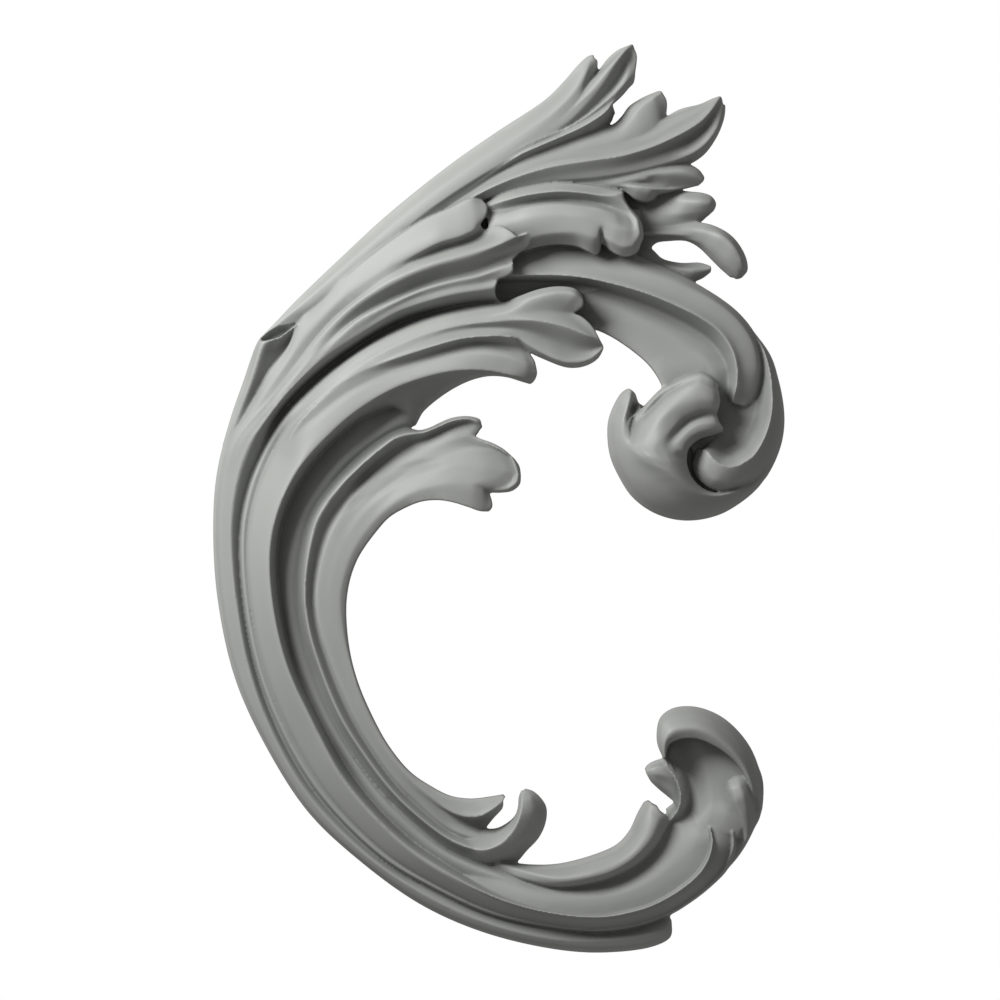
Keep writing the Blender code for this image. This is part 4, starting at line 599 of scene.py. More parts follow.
def back_spray_upper():
    """The two upper lobes of the spray behind, which springs from the rolled root."""
    edge = [
        (259.5, 339, 12), (271, 327.5, 12), (296.5, 300.7, 12), (344.5, 254.7, 12), (382.4, 219.6),
        (421, 187.5, 12), (459, 158.5), (498, 131.5, 12), (546, 99.5, 12), (565, 80.5), (578, 65.5, 12),
        (588, 56.5, 11), (593, 55, 11)]
    crown = [
        (270, 331.5, 12.8), (300, 307, 15.5), (346, 267, 16.5), (422, 204, 17.5), (470, 171, 18),
        (520, 138, 18), (555, 114, 18), (575, 94, 17.5), (585, 77, 16), (592, 59, 12.5)]
    crease = [
        (279, 327, 13.4), (312, 305, 16), (352, 273, 17.3), (424, 212, 18.2), (472, 179, 18.6),
        (522, 145, 18.5), (562, 118, 18), (579, 100, 17.2), (587, 86, 14.5), (593, 79, 12),
        (596.5, 74, 9)]
    fold = [
        (285, 325.8, 13.6), (316, 304, 16), (358, 269, 17.5), (428, 212, 18.3), (475, 180, 18.7),
        (525, 150, 18.6), (565, 124, 18.3), (588, 101, 18), (602, 83, 18.4), (612, 67, 18.6),
        (621, 55, 17.4), (629, 46, 13.5)]
    hollow = [
        (289, 325, 13.7), (319, 303.5, 15.9), (361, 268, 17.2), (430, 212, 17.8), (478, 180, 18.2),
        (528, 153, 17.6), (568, 131, 16.6), (590, 114, 15.4), (606, 97, 14.6), (618, 82, 14),
        (628, 64, 13.8), (634, 49, 12.5)]
    thin_crest = [
        (293, 324, 13.8), (322, 303.5, 15.7), (365, 267, 17), (433, 213, 17), (479, 179, 17.8),
        (520, 149.5, 18.8), (560, 132, 18.8), (580, 121, 18.8), (600, 107.5, 18.6), (612, 97.5, 18),
        (623, 87, 17), (635, 74, 14)]
    thin_groove = [
        (295, 323.4, 13.8), (323, 303.4, 15.6), (366, 267, 16.8), (434, 213, 16.8), (480, 180, 17.4),
        (520, 152, 18.3), (560, 134.5, 18.1), (580, 124, 18.1), (600, 111, 17.9), (612, 101.5, 17.4),
        (621, 93.5, 16), (629, 87.5, 13)]
    lower_crest = [
        (297, 322.8, 13.8), (324, 303.2, 15.5), (367, 267, 16.9), (436, 213, 16.6), (481, 182, 17.2),
        (500, 169, 18.2), (520, 156, 19.6), (540, 147, 20.1), (560, 138.5, 20.2), (580, 129.5, 20.3),
        (600, 117.5, 20.2), (608, 110.5, 19.5), (612, 104.5, 17.5)]
    foot = [
        (299, 322, 12.5), (326, 302.5, 13.4), (369, 267, 14.4), (438, 214, 16), (482, 184, 16.2),
        (501, 171.5, 15.8), (520, 161.5, 16), (540, 153, 15.6), (560, 145.5, 15.2), (580, 138, 14.6),
        (600, 130.5, 12.6), (611, 122, 9), (615, 112, 6)]
    rails = [edge, crown, crease, fold, hollow, thin_crest, thin_groove, lower_crest, foot]
    ends = {0: [(594.3, 56)], 1: [(597, 60), (597.3, 68)], 2: [(600, 69), (608, 58.5), (618, 50.5)],
            3: [(632.5, 44.5)], 4: [(636.7, 56)], 5: [(634, 82)], 6: [(624.5, 93), (618, 99.5)]}
    return loft(rails, sharp=(7,), ends=ends)


def back_spray_lower():
    """The two lower lobes of the spray behind, with the long ridge that shades them."""
    edge = [
        (298, 324, 12), (366, 266, 13.5), (436, 212, 15.4), (480, 182, 15.8), (499, 169.5, 15.4),
        (518.5, 159.5, 15.9), (538.5, 151, 15.5), (559, 143.5, 15.1), (579, 136, 14.6),
        (599.5, 129, 13.4), (613, 124.5, 11.5), (622, 116, 11), (628, 107.5, 10.5), (637, 101, 10.5),
        (648, 95.3, 10.5), (659, 91, 10.5)]
    brow = [
        (302, 326, 13), (370, 267, 15), (440, 214, 16), (484, 186, 16.6), (503, 175, 16.8),
        (522, 165.5, 17), (542, 157.5, 17), (562, 151, 17), (582, 145, 17), (603, 139.5, 16.8),
        (620, 132, 16.4), (631, 121, 16), (640, 109.5, 15.6), (652, 100, 15), (662, 93, 12.5)]
    crease = [
        (303, 325, 13), (372, 266, 15.6), (444, 213, 16.8), (486, 187.5, 17.6), (522, 170, 18),
        (562, 157, 18), (603, 149, 17.8), (635, 140, 17.2), (650, 131.5, 16.2), (659, 123, 14.6),
        (665.5, 117.5, 11)]
    upper_face = [
        (304, 325, 13), (374, 265, 16), (446, 213, 17.6), (488, 188, 18.8), (522, 173, 19.6),
        (562, 160.5, 19.8), (603, 154.5, 19.6), (645, 142, 18.6), (675, 125, 17.2), (697, 113, 16.2),
        (710, 105, 15.2), (718, 97, 12.5)]
    ridge = [
        (305, 324, 13), (376, 264, 16.5), (448, 213, 18.5), (489, 190, 20), (520, 177, 21.3),
        (550, 168.5, 21.8), (590, 162, 21.8), (620, 157.5, 21.6), (650, 149, 21), (670, 140.5, 20.4),
        (690, 130, 19.4), (703, 120.5, 18.2), (714, 107, 16), (720.5, 96.5, 12.5)]
    shade = [
        (306, 324, 12), (378, 264, 15), (450, 214, 16.5), (491, 193.5, 17.6), (522, 183.5, 18.6),
        (555, 177, 18.8), (592, 172.5, 18.5), (624, 167.5, 17.6), (652, 158, 16.2), (672, 149.5, 14.9),
        (690, 140, 13.6), (703, 129, 13.6), (714.5, 114, 13.8), (722, 99.5, 12)]
    rim = [
        (306, 324, 12), (378, 264, 14), (450, 215, 15.5), (492, 196, 16.4), (525, 187.5, 17.4),
        (557, 181.5, 17.7), (596, 178, 17.5), (628, 173, 16.8), (655, 166, 15.9), (675, 160, 15.4),
        (692, 153.5, 15.8), (705, 144.5, 15.8), (716, 130, 15), (723, 108, 12.5)]
    foot = [
        (306, 324, 10), (378, 264, 12), (450, 216, 14), (492, 198, 14.5), (525, 190, 15.4),
        (558, 185, 15.6), (598, 182, 15.4), (630, 176.5, 14.6), (657, 170, 13.6), (676, 165.5, 11.5),
        (690, 163.5, 9), (699, 158.5, 8), (707, 151.5, 8), (718, 135, 8), (724.5, 117, 8),
        (725.5, 104, 9)]
    rails = [edge, brow, crease, upper_face, ridge, shade, rim, foot]
    ends = {0: [(661.3, 91.3)], 1: [(666.5, 101), (666.7, 110)],
            2: [(680, 109.5), (700, 104.5), (711, 99.5)]}
    return loft(rails, sharp=(4,), ends=ends)


def back_spray_fingers():
    """The short blunt fingers under the spray behind."""
    upper = [
        (540, 185, 15), (570, 182, 15.6), (605, 178, 15.6), (635, 172, 15.2), (660, 167, 14),
        (678, 164.5, 12), (690, 165, 10.5), (699, 170, 10), (705, 178, 9.5)]
    crest = [
        (540, 188, 15), (570, 185, 15.6), (605, 182, 15.8), (635, 177, 15.8), (660, 174, 15.6),
        (680, 173, 15), (692, 176, 13.6), (703.5, 181, 11)]
    gap = [
        (540, 190, 14.5), (570, 188, 15.2), (605, 184.5, 15.8), (630, 180.5, 16.2), (644, 180, 15.6),
        (652, 182.5, 13.5), (665, 186, 12.5), (684, 188.7, 10), (699, 185, 9)]
    finger = [
        (540, 192, 13.5), (570, 191, 14), (605, 188, 15.2), (624, 186, 16.2), (638, 187.5, 17.4),
        (648, 190, 16.8), (655, 193, 14.5), (657.5, 195, 12)]
    foot = [
        (540, 196, 11), (570, 195, 11.5), (605, 191, 12.5), (620, 190.5, 13.5), (628, 195, 14),
        (635, 200.5, 13.5), (646, 202.5, 12.5), (654, 199.5, 11.5)]
    return loft([upper, crest, gap, finger, foot])


def middle_leaf():
    """The broad leaf between the two sprays, with a ridge along its top and two hanging lobes."""
    top = [
        (482, 206, 14), (500, 195.5, 16.5), (520, 190, 18), (540, 186, 18.5), (560, 184, 18.6),
        (580, 185, 18.6), (600, 187.5, 18.4), (614, 190, 17.8), (622, 191, 16.5)]
    first = [
        (483, 207, 15), (501, 199, 18.5), (520, 193.5, 20), (540, 190, 20.6), (560, 188.3, 20.8),
        (580, 189.5, 20.8), (600, 192, 21), (614, 192.8, 21.6), (622.5, 192, 20)]
    ridge = [
        (484, 208, 16), (504, 202, 20.5), (522, 197.5, 22.6), (540, 194.5, 23.6), (560, 192.8, 24),
        (580, 194, 24), (600, 196.5, 24), (613, 196.5, 24), (622.5, 194, 22.5)]
    groove = [
        (486, 212, 16), (506, 210, 17.5), (524, 205, 18), (542, 202, 18), (560, 201, 18.2),
        (580, 202, 18.6), (600, 204.5, 19.4), (613, 208.5, 20.6), (623, 211.5, 21.6), (629.5, 212, 22.4),
        (634, 213, 20)]
    face = [
        (487, 218, 18), (508, 214.5, 20.6), (524, 210, 22.2), (542, 207, 23), (560, 206, 23.4),
        (580, 207.5, 23.8), (600, 211, 24.2), (613, 215.5, 24), (623, 218.5, 22.8), (630, 220.5, 22.8),
        (636, 221.3, 24.4), (640.3, 222.3, 22)]
    swell = [
        (489, 232, 20.5), (512, 226, 22.8), (530, 221.5, 24.4), (560, 218.5, 25.6), (585, 220, 26.4),
        (602, 226, 26.4), (614, 230, 26.8), (626, 232.5, 26.2), (633, 233.5, 25.4), (638.5, 234.2, 25.6),
        (643, 235.5, 22)]
    low = [
        (492, 246, 20.5), (520, 240, 21.5), (545, 234.5, 24), (572, 232.5, 25.8), (590, 235, 26.4),
        (597.5, 237.5, 25.8), (601, 237, 22.5), (605, 238.5, 25.2), (612, 243, 26), (623, 246.5, 26),
        (632, 246, 25.4), (640, 245, 22)]
    edge = [
        (494, 256, 15), (522, 252, 15), (540, 247, 16), (558, 245, 17), (576, 247, 19),
        (588, 252.3, 20.5), (596, 255.3, 19), (600, 251, 17), (601.5, 244, 16.5), (604.5, 246, 18),
        (610, 251.3, 20), (618, 255.8, 20.5), (628, 257.2, 20), (636, 253.8, 19)]
    ends = {2: [(624, 200), (629.5, 208.5)], 3: [(637.5, 217.3)], 4: [(642.2, 228.5)], 5: [(642.5, 240.5)],
            6: [(639, 249.8)]}
    return loft([top, first, ridge, groove, face, swell, low, edge], sharp=(2,), ends=ends)


def lobe_behind():
    """The rounded lobe low behind the sprays."""
    upper = [
        (600, 190, 4), (640, 188, 5), (670, 189.5, 6), (690, 191.5, 8), (703, 193, 9), (711, 196, 9),
        (715.5, 201, 9)]
    crest = [
        (600, 200, 4), (640, 200, 5), (668, 201, 8.5), (686, 202, 13), (700, 203, 14.5),
        (709, 204, 13.5), (716.3, 205, 9)]
    face = [
        (600, 212, 4), (640, 212, 6), (668, 212, 9.5), (685, 212.5, 12), (699, 212, 12.5),
        (706.5, 211.5, 12), (714.5, 210, 9)]
    low = [
        (600, 224, 4), (640, 222, 7), (668, 221, 9), (685, 220.5, 9.5), (696, 219, 9.5), (703, 217, 8.5),
        (708.5, 215.5, 7)]
    edge = [
        (600, 236, 5), (645, 232, 7), (675, 230, 8), (690, 227, 8), (700, 222, 7.5), (704, 219.5, 7),
        (705.5, 217.8, 6)]
    return loft([upper, crest, face, low, edge])


def tongue():
    """The long tongue that droops to the right below the lobe."""
    upper = [
        (620, 224, 5), (660, 224, 7), (690, 222.5, 9), (706, 223.5, 10), (720, 228.5, 10.5),
        (732, 236.5, 10.5), (741, 247.5, 9.5), (746.5, 259, 8.5), (748, 267, 8)]
    crest = [
        (620, 229, 6), (660, 230, 9), (690, 230, 11), (708, 232.5, 13.5), (722, 238, 16),
        (732, 247, 16.5), (739.5, 258, 15.5), (743, 268, 13), (744.5, 275, 9)]
    line = [
        (620, 234, 7.5), (648, 234, 10), (665, 234.3, 10.8), (690, 236, 10.8), (703, 240, 12),
        (716, 247, 14), (726, 257, 14.5), (734, 268, 13), (738, 275.5, 10.5), (739, 278.6, 8)]
    face = [
        (620, 239, 6), (655, 238, 7.5), (680, 238.5, 8.5), (700, 244, 10), (712, 253, 11),
        (722, 263.5, 11), (730, 272, 10), (733.5, 277, 7.5)]
    edge = [
        (620, 250, 4), (648, 249, 5), (657, 242.5, 5), (668, 240.8, 5), (687, 240.8, 5), (699, 247, 5),
        (711, 258.5, 5), (721, 268.5, 5), (729, 275.5, 6)]
    ends = {0: [(747.3, 271.5)], 1: [(742, 277.5)], 2: [(736.2, 278.7)], 3: [(731, 277)]}
    return loft([upper, crest, line, face, edge], ends=ends)


def low_tip():
    """The small pointed tip just above the scroll's stem."""
    upper = [
        (590, 240, 4), (630, 244, 5), (652, 249, 5), (662, 258, 5), (680, 262.5, 5), (700, 262.5, 6),
        (711, 266, 8)]
    crest = [
        (590, 262, 7), (630, 262, 8), (652, 262, 9), (672, 268, 10.5), (690, 270.5, 11), (702, 270, 10),
        (711.5, 269, 9)]
    edge = [
        (590, 275, 7), (630, 278, 7), (655, 278, 8), (675, 280, 9), (690, 282, 8), (702, 278.5, 7),
        (711, 272, 7)]
    return loft([upper, crest, edge])


def scroll_stem():
    """The curved stem of the upper scroll: a convex outer band, a sharp ridge and a hollow inner band."""
    outer = [
        (470, 250, 6), (505, 240, 8), (540, 236, 6.5), (580, 240, 7.5), (620, 250, 9.5),
        (655, 263, 11.5), (685, 277.5, 12), (719, 297.5, 11), (738, 312.5), (752.5, 330, 11),
        (762, 350, 11), (764.5, 370, 11), (762, 388, 10.5), (757.5, 398, 10)]
    band = [
        (470, 262, 7), (508, 256, 9.5), (545, 253, 10.5), (580, 257, 12), (620, 265, 14.5),
        (655, 277, 17), (689, 290.5, 18), (717, 305, 18.5), (738, 323, 18.5), (752, 345, 18.3),
        (756, 368, 17.6), (753, 388, 15.5), (748.5, 404, 12)]
    shelf = [
        (470, 276, 9), (510, 272, 14), (556, 271.5, 15.3), (580, 273.5, 16.2), (606, 278.5, 17.2),
        (642, 288, 18.3), (674, 300.5, 19.3), (703, 315, 20), (723, 330, 20), (735, 348, 20),
        (740.5, 368, 19.6), (740.5, 386, 18), (736.5, 404.5, 13.5)]
    ridge = [
        (470, 280, 10), (510, 276.5, 15), (556, 276, 16.6), (580, 278, 17.6), (605, 283, 18.5),
        (640, 292.5, 19.8), (672, 305, 20.8), (700, 319, 21.6), (719, 333), (730.5, 350, 21.6),
        (735.5, 368, 21.4), (735.5, 385, 20), (731.5, 402, 15)]
    hollow = [
        (470, 288, 5), (510, 284, 5.5), (556, 284, 5), (590, 288, 5), (630, 300, 5.5), (663, 313.5, 6),
        (691, 328, 6.8), (710, 342, 7.8), (721, 356, 9), (727, 370, 10), (727.5, 388, 10), (726, 404, 8)]
    channel = [
        (470, 302, 6), (510, 300, 6.2), (556, 300, 6.2), (595, 305, 6.8), (630, 316, 7.6),
        (660, 332, 8.6), (684, 348, 9.8), (704, 362, 11), (714, 380, 12), (718, 404, 11)]
    inner = [
        (470, 322, 6), (510, 322, 6), (560, 324, 6.5), (595, 329.5, 7.5), (612, 337, 8.5),
        (631, 349.5, 9), (647, 363, 9.5), (657, 376, 10), (664, 390, 10), (676, 415, 10)]
    ends = {0: [(753.5, 402.5)], 1: [(743, 406.5)], 2: [(734, 404.5)]}
    return loft([outer, band, shelf, ridge, hollow, channel, inner], sharp=(3,), ends=ends)


def scroll_rim():
    """The rim that carries the outer wall of the scroll round to its eye and ends there in a tongue."""
    edge = [
        (738, 313, 8), (752, 329.5, 8), (770.5, 355, 7), (778.5, 379, 7), (783.5, 404, 7),
        (784.5, 424, 7), (781.5, 444, 7), (772.5, 467, 7), (763, 481, 8), (754, 486, 10),
        (745, 487.5, 12), (736, 489.5, 13.5), (727, 491, 15), (716, 490.5, 16), (706, 486.5, 17),
        (698, 480, 17), (693, 471, 16.5), (692, 461, 16), (696, 451, 15.5)]
    wall = [
        (748, 325, 11), (760, 341, 12), (773, 365, 13.5), (778.5, 390, 14.5), (779.5, 415, 15),
        (775.5, 438, 15.5), (766, 459, 16.5), (752, 474, 18), (738, 480.5, 19.5), (725, 482, 21),
        (713, 478.5, 22), (705, 471, 22), (700.5, 461, 21), (700, 451, 19)]
    rim = [
        (756, 335, 13), (764, 353, 17.5), (769, 373, 19.5), (771, 395, 21), (770, 415, 21.5),
        (764, 436, 22), (753, 455, 23), (744.5, 461.5, 23.6), (736, 465.8, 24), (727.5, 466.8, 24.4),
        (719, 464.5, 24.6), (712.5, 459.5, 24.4), (707.5, 453.5, 23.6), (703, 449.5, 21)]
    inside = [
        (753, 340, 10), (760, 356, 13), (765, 375, 15.5), (766.5, 395, 17), (765.5, 413, 17.6),
        (759.5, 433, 18.4), (749.5, 450, 19.5), (742, 456.5, 20.4), (734.5, 460.8, 21),
        (727, 461.6, 21.4), (720.5, 459.8, 21.4), (715, 455, 21), (710.5, 450, 20), (706.5, 446.5, 18)]
    pocket = [
        (746, 349, 7), (751, 364, 8), (755, 380, 9.5), (756, 396, 11), (754, 412, 12), (748, 427, 13),
        (740, 440, 14), (734, 447, 14.8), (728, 451, 15.2), (722, 450, 15.4), (717.5, 446.5, 15.2),
        (713.5, 443.5, 14.8), (709.5, 442, 14)]
    floor = [
        (715, 360, 6), (712, 378, 7), (710, 396, 9), (709, 412, 10.6), (711, 424, 11.6),
        (715.5, 432, 12.2), (714, 436, 12.4), (713, 438, 12.5), (712.5, 438.6, 12.5), (712, 439, 12.5),
        (711.5, 439.2, 12.5), (711, 439.4, 12.5), (710.5, 439.6, 12.5)]
    ends = {0: [(698, 449)], 1: [(701.8, 449)]}
    return loft([edge, wall, rim, inside, pocket, floor], sharp=(2,), ends=ends)


def scroll_ball():
    """The round underside of the scroll, from its outline to the foot of the leaf, with the upturned
    point on its left."""
    edge = [
        (770, 471.5, 7), (757, 489, 7), (739, 504, 6), (719, 515, 5), (694, 520.5, 5), (672, 519, 5),
        (650.5, 511, 5), (632, 496.5, 5), (619.5, 477.5, 5.5), (610.5, 457, 6), (607.5, 436, 7),
        (608.5, 420, 8), (613, 407, 9), (620, 394.5, 10), (625.5, 389.5, 11), (629, 388.3, 12)]
    swell = [
        (768, 471.5, 10), (756, 486.5, 10.5), (739, 498.5, 12), (719, 507.5, 13), (695, 511.5, 14),
        (673, 509.5, 14.5), (653, 501.5, 15), (637, 488, 15.5), (626, 472, 16), (618.5, 454, 16),
        (615.5, 436, 16), (617, 421, 16.5), (621, 408, 16.5), (625.5, 396, 15.5), (629.8, 389.3, 13)]
    high = [
        (766, 472, 11.5), (755, 485, 12), (740, 493.5, 14.5), (720, 500.5, 16.5), (696, 502.5, 18.5),
        (675, 499, 20.5), (657, 489.5, 21.8), (643, 477, 22.4), (632.5, 461, 22.4), (625.5, 446, 21.5),
        (622.5, 433, 20.5), (623.5, 420, 20), (627.5, 408, 19), (630.5, 397, 17), (631, 389.8, 13.5)]
    pocket = [
        (764, 473, 12.2), (754.5, 484, 12.8), (741, 490.5, 14.8), (725, 496.5, 17), (706, 498.5, 19.5),
        (684, 495.5, 22), (667, 487, 24), (651, 475, 24.7), (638, 462, 24.5), (629, 449, 22.8),
        (626, 437, 21), (626, 426, 20.2), (628.5, 416, 17.5), (633, 407.5, 11), (637.5, 400.5, 11)]
    lip = SCROLL_FOOT + [
        (629, 437, 21.2), (629, 427, 20.2), (631, 419, 18.8), (634.5, 415.8, 17.6), (640.5, 411.5, 16)]
    return loft([edge, swell, high, pocket, lip], ends={2: [(635, 393.5)], 3: [(640, 406)]})


def scroll_leaf():
    """The leaf that grows out of the round underside and folds over the scroll's eye, with a beaded
    upper rim, a groove below it and two blunt tips to the right."""
    rim_edge = SCROLL_FOOT + [
        (628.5, 437, 20.8), (628, 427, 18.8), (631, 419, 16.8), (640, 410.5, 15.5), (650, 399.5, 16),
        (661, 388.8, 16), (670, 384.5, 17), (680, 379, 18), (690, 375.3, 19), (700, 373.3, 19.5),
        (708, 375.5, 19.5), (714, 380, 19), (718.5, 387, 18)]
    rim = domed(SCROLL_FOOT, EYE_EDGE, 0.02) + [
        (631, 437.3, 21.2), (632, 427.6, 19), (635.5, 419, 17.4), (642, 412.3, 18.2), (652, 401.2, 19.6),
        (663, 390.8, 20.4), (671, 386.7, 21.4), (681, 381.5, 22.6), (691, 377.8, 23.4), (700, 376, 23.8),
        (707, 378, 23.8), (712.5, 382.2, 23.4), (716.8, 388, 21.5)]
    groove = domed(SCROLL_FOOT, EYE_EDGE, 0.04) + [
        (633.5, 437.6, 21.8), (635.8, 428, 19.4), (639, 420, 18.2), (645, 414.5, 18.4),
        (654.4, 404.8, 19), (665, 394.8, 20.4), (673, 389.8, 21.4), (682, 385, 22.8), (691, 381.7, 24),
        (699, 380.6, 25), (705.5, 382.7, 25), (711, 386.4, 24.5), (717.4, 390.5, 22.3)]
    crest = domed(SCROLL_FOOT, EYE_EDGE, 0.07) + [
        (637, 438, 24), (641, 429.5, 23.6), (645, 423, 23.6), (650, 417, 24), (657, 409.5, 24.4),
        (667, 400.8, 24.9), (675, 395, 25.4), (684, 389.5, 26), (692, 386.5, 26.6), (699, 386, 26.8),
        (705, 388, 26.6), (711, 391, 26), (718.3, 395, 23.5)]
    face = domed(SCROLL_FOOT, EYE_EDGE, 0.25) + [
        (648, 437.5, 27.6), (656, 427, 27.7), (665, 417.5, 27.4), (674.5, 409.5, 27.3),
        (684, 403.5, 27.5), (694, 399, 27.8), (703, 397.5, 27.6), (712, 399.5, 26.5), (719.5, 401.5, 23)]
    slope = domed(SCROLL_FOOT, EYE_EDGE, 0.45) + [
        (658.5, 443, 29.3), (666, 433, 28.3), (674.5, 424, 27), (684, 415.8, 26.3), (694, 411, 26.3),
        (703, 408.5, 26), (712, 408.5, 25), (718, 408.5, 22.5)]
    hollow = domed(SCROLL_FOOT, EYE_EDGE, 0.6) + [
        (667, 445, 28.4), (672, 437.5, 26.6), (678.5, 430, 24.8), (686, 423, 23.6), (694.5, 418.3, 23.2),
        (703, 415.5, 23), (711, 414.5, 22.6), (715.8, 414.5, 21)]
    brow = domed(SCROLL_FOOT, EYE_EDGE, 0.74) + [
        (675, 446.5, 28.4), (681, 438.5, 27.8), (688.5, 431, 27), (697, 426, 26.4), (706, 423.8, 25.8),
        (713.5, 423.5, 24.6), (719, 424, 22)]
    shoulder = domed(SCROLL_FOOT, EYE_EDGE, 0.88) + [
        (681, 449, 27.8), (684.5, 442.5, 27.4), (690.5, 436.2, 26.8), (698, 431.8, 26.2),
        (706.5, 429.8, 25.4), (714.5, 429, 24), (722.3, 428.3, 21.5)]
    eye_edge = EYE_EDGE + [
        (687.5, 450, 23.6), (692, 444.5, 23), (698, 440, 22), (706, 437, 21), (715, 434.5, 20),
        (722, 432, 18.5)]
    rails = [rim_edge, rim, groove, crest, face, slope, hollow, brow, shoulder, eye_edge]
    return loft(rails, ends={7: [(721.3, 426)]})


def rolled_root():
    """The root of the front spray, rolled over at its upper end into a thin lip."""
    edge = [
        (222.3, 446, 7.5), (232.8, 411, 8), (243.8, 380, 8.5), (251.5, 357, 9), (255.8, 346, 10),
        (258.5, 340.8, 12)]
    crest = [
        (231, 440, 10), (241, 411, 12.5), (251, 384, 15), (258, 362, 16.5), (262, 349, 17.3),
        (266, 341.6, 18)]
    shade = [
        (236, 437, 10), (246, 411, 11.6), (258, 387, 12.5), (268, 368, 12.8), (274, 352, 13.4),
        (281, 337.3, 16.5)]
    foot = [
        (240, 434, 8), (252, 408, 9), (262, 390, 9), (275, 368, 9.5), (289, 347, 10), (298, 333, 11.5),
        (303.5, 319.5, 15)]
    return loft([edge, crest, shade, foot], ends={2: [(288, 331.6), (295, 326.3)]})


def ground():
    """Low ground that closes the gaps where leaves and stems cross."""
    patches = [
        [[(259.5, 341, 9), (276, 338, 9), (304, 322, 12)], [(262, 372, 8), (284, 356, 8), (316, 334, 10)]],
        [[(260, 339, 12), (270, 331, 12.5), (280, 326, 13), (290, 324.5, 13.6), (300, 320.5, 13.6)],
         [(262, 341, 10.5), (272, 336, 9), (282, 331, 9.5), (291, 326.5, 12), (300, 321.5, 13)],
         [(266, 345, 10), (276, 342, 8.5), (287, 335, 9), (296, 328, 11.5), (304, 322, 12.5)]],
        [[(440, 300, 6), (520, 258, 6), (640, 246, 6)], [(440, 322, 6), (520, 304, 6), (600, 290, 6)]],
        [[(470, 214, 8), (560, 190, 8), (640, 210, 8)], [(470, 240, 8), (560, 240, 8), (640, 240, 8)]],
        [[(464, 198, 12), (506, 190, 13)], [(468, 242, 12), (510, 238, 13)]],
        [[(445, 850, 5), (480, 860, 5), (506, 861, 4.5)], [(470, 874, 6), (500, 880, 6), (540, 880, 6)]],
        [[(700, 395, 6), (688, 450, 8), (694, 478, 12.5), (712, 494, 14), (740, 490, 12)],
         [(735, 395, 5), (735, 440, 6), (730, 465, 8), (734, 475, 9), (745, 480, 9)]],
        [[(688, 442, 14), (712, 434, 13)], [(694, 457, 14), (714, 446, 13)]],
        [[(625, 408, 9), (628, 430, 12), (632, 450, 16)], [(642, 404, 9), (644, 425, 12), (646, 448, 16)]],
        [[(640, 414, 12), (655, 440, 13), (680, 480, 13)],
         [(690, 395, 12), (700, 440, 12), (705, 490, 13)]],
        [[(666, 809.5, 5), (670, 826, 6)], [(677, 801, 8), (682, 818, 8)]],
        [[(700, 816, 11), (722, 816, 12), (742, 818, 12)], [(706, 840, 11), (724, 842, 12), (740, 850, 9)]],
        [[(603, 107, 9), (610, 105.5, 9)], [(608, 117, 9), (615.5, 113, 9)]],
    ]
    return [loft(rails) for rails in patches]


def ornament():
    """Every sheet of the carving, in the order in which it is drawn."""
    single = [
        front_spray, split_leaf, lower_leaf, trough, inner_band, hook, plateau, edge_band, cup, cup_foot,
        hood, side_lobe, leaflet, cup_brow, back_spray_upper, back_spray_lower, back_spray_fingers,
        middle_leaf, lobe_behind, tongue, low_tip, scroll_stem, scroll_rim, scroll_ball, scroll_leaf,
        rolled_root]
    return [make() for make in single] + ground()


def to_metres(sheet):
    """Points of the part from samples on the sheet: the relief stands out towards -Y."""
    right = (sheet[..., 0] - ORIGIN_RIGHT) * UNIT
    out = -sheet[..., 2] * RELIEF / RELIEF_STEPS
    up = (ORIGIN_DOWN - sheet[..., 1]) * UNIT
    return np.stack([right, out, up], axis=-1)


def closed_shell(sheet):
    """Vertices and four-sided faces of the block between one sheet and a plane behind the back."""
    rows, columns = sheet.shape[:2]
    front = to_metres(sheet).reshape(-1, 3)
    back = front.copy()
    back[:, 1] = BACKING
    number = np.arange(rows * columns).reshape(rows, columns)
    corners = [number[:-1, :-1], number[:-1, 1:], number[1:, 1:], number[1:, :-1]]
    quads = np.stack(corners, axis=-1).reshape(-1, 4)
    rim = np.concatenate([number[0, :-1], number[:-1, -1], number[-1, :0:-1], number[:0:-1, 0]])
    following = np.roll(rim, -1)
    behind = rows * columns
    walls = np.stack([rim, rim + behind, following + behind, following], axis=-1)
    faces = np.concatenate([quads, quads[:, ::-1] + behind, walls])
    return np.vstack([front, back]), faces


def mesh_of(points, faces, name):
    """A mesh from arrays of points and four-sided faces."""
    mesh = bpy.data.meshes.new(name)
    mesh.vertices.add(len(points))
    mesh.vertices.foreach_set("co", points.astype(np.float32).ravel())
    mesh.loops.add(faces.size)
    mesh.loops.foreach_set("vertex_index", faces.astype(np.int32).ravel())
    mesh.polygons.add(len(faces))
    mesh.polygons.foreach_set("loop_start", np.arange(0, faces.size, 4, dtype=np.int32))
    mesh.update(calc_edges=True)
    return mesh


def joined_blocks(sheets):
    """One mesh that holds the block under every sheet."""
    points, faces, used = [], [], 0
    for sheet in sheets:
        block_points, block_faces = closed_shell(sheet)
        points.append(block_points)
        faces.append(block_faces + used)
        used += len(block_points)
    return mesh_of(np.vstack(points), np.vstack(faces), "blocks")


def with_modifier(mesh, kind, **settings):
    """The mesh after one modifier."""
    carrier = bpy.data.objects.new("carrier", mesh)
    bpy.context.scene.collection.objects.link(carrier)
    modifier = carrier.modifiers.new(kind.lower(), kind)
    for name, value in settings.items():
        setattr(modifier, name, value)
    bpy.context.view_layer.update()
    graph = bpy.context.evaluated_depsgraph_get()
    result = bpy.data.meshes.new_from_object(carrier.evaluated_get(graph))
    bpy.data.objects.remove(carrier)
    return result


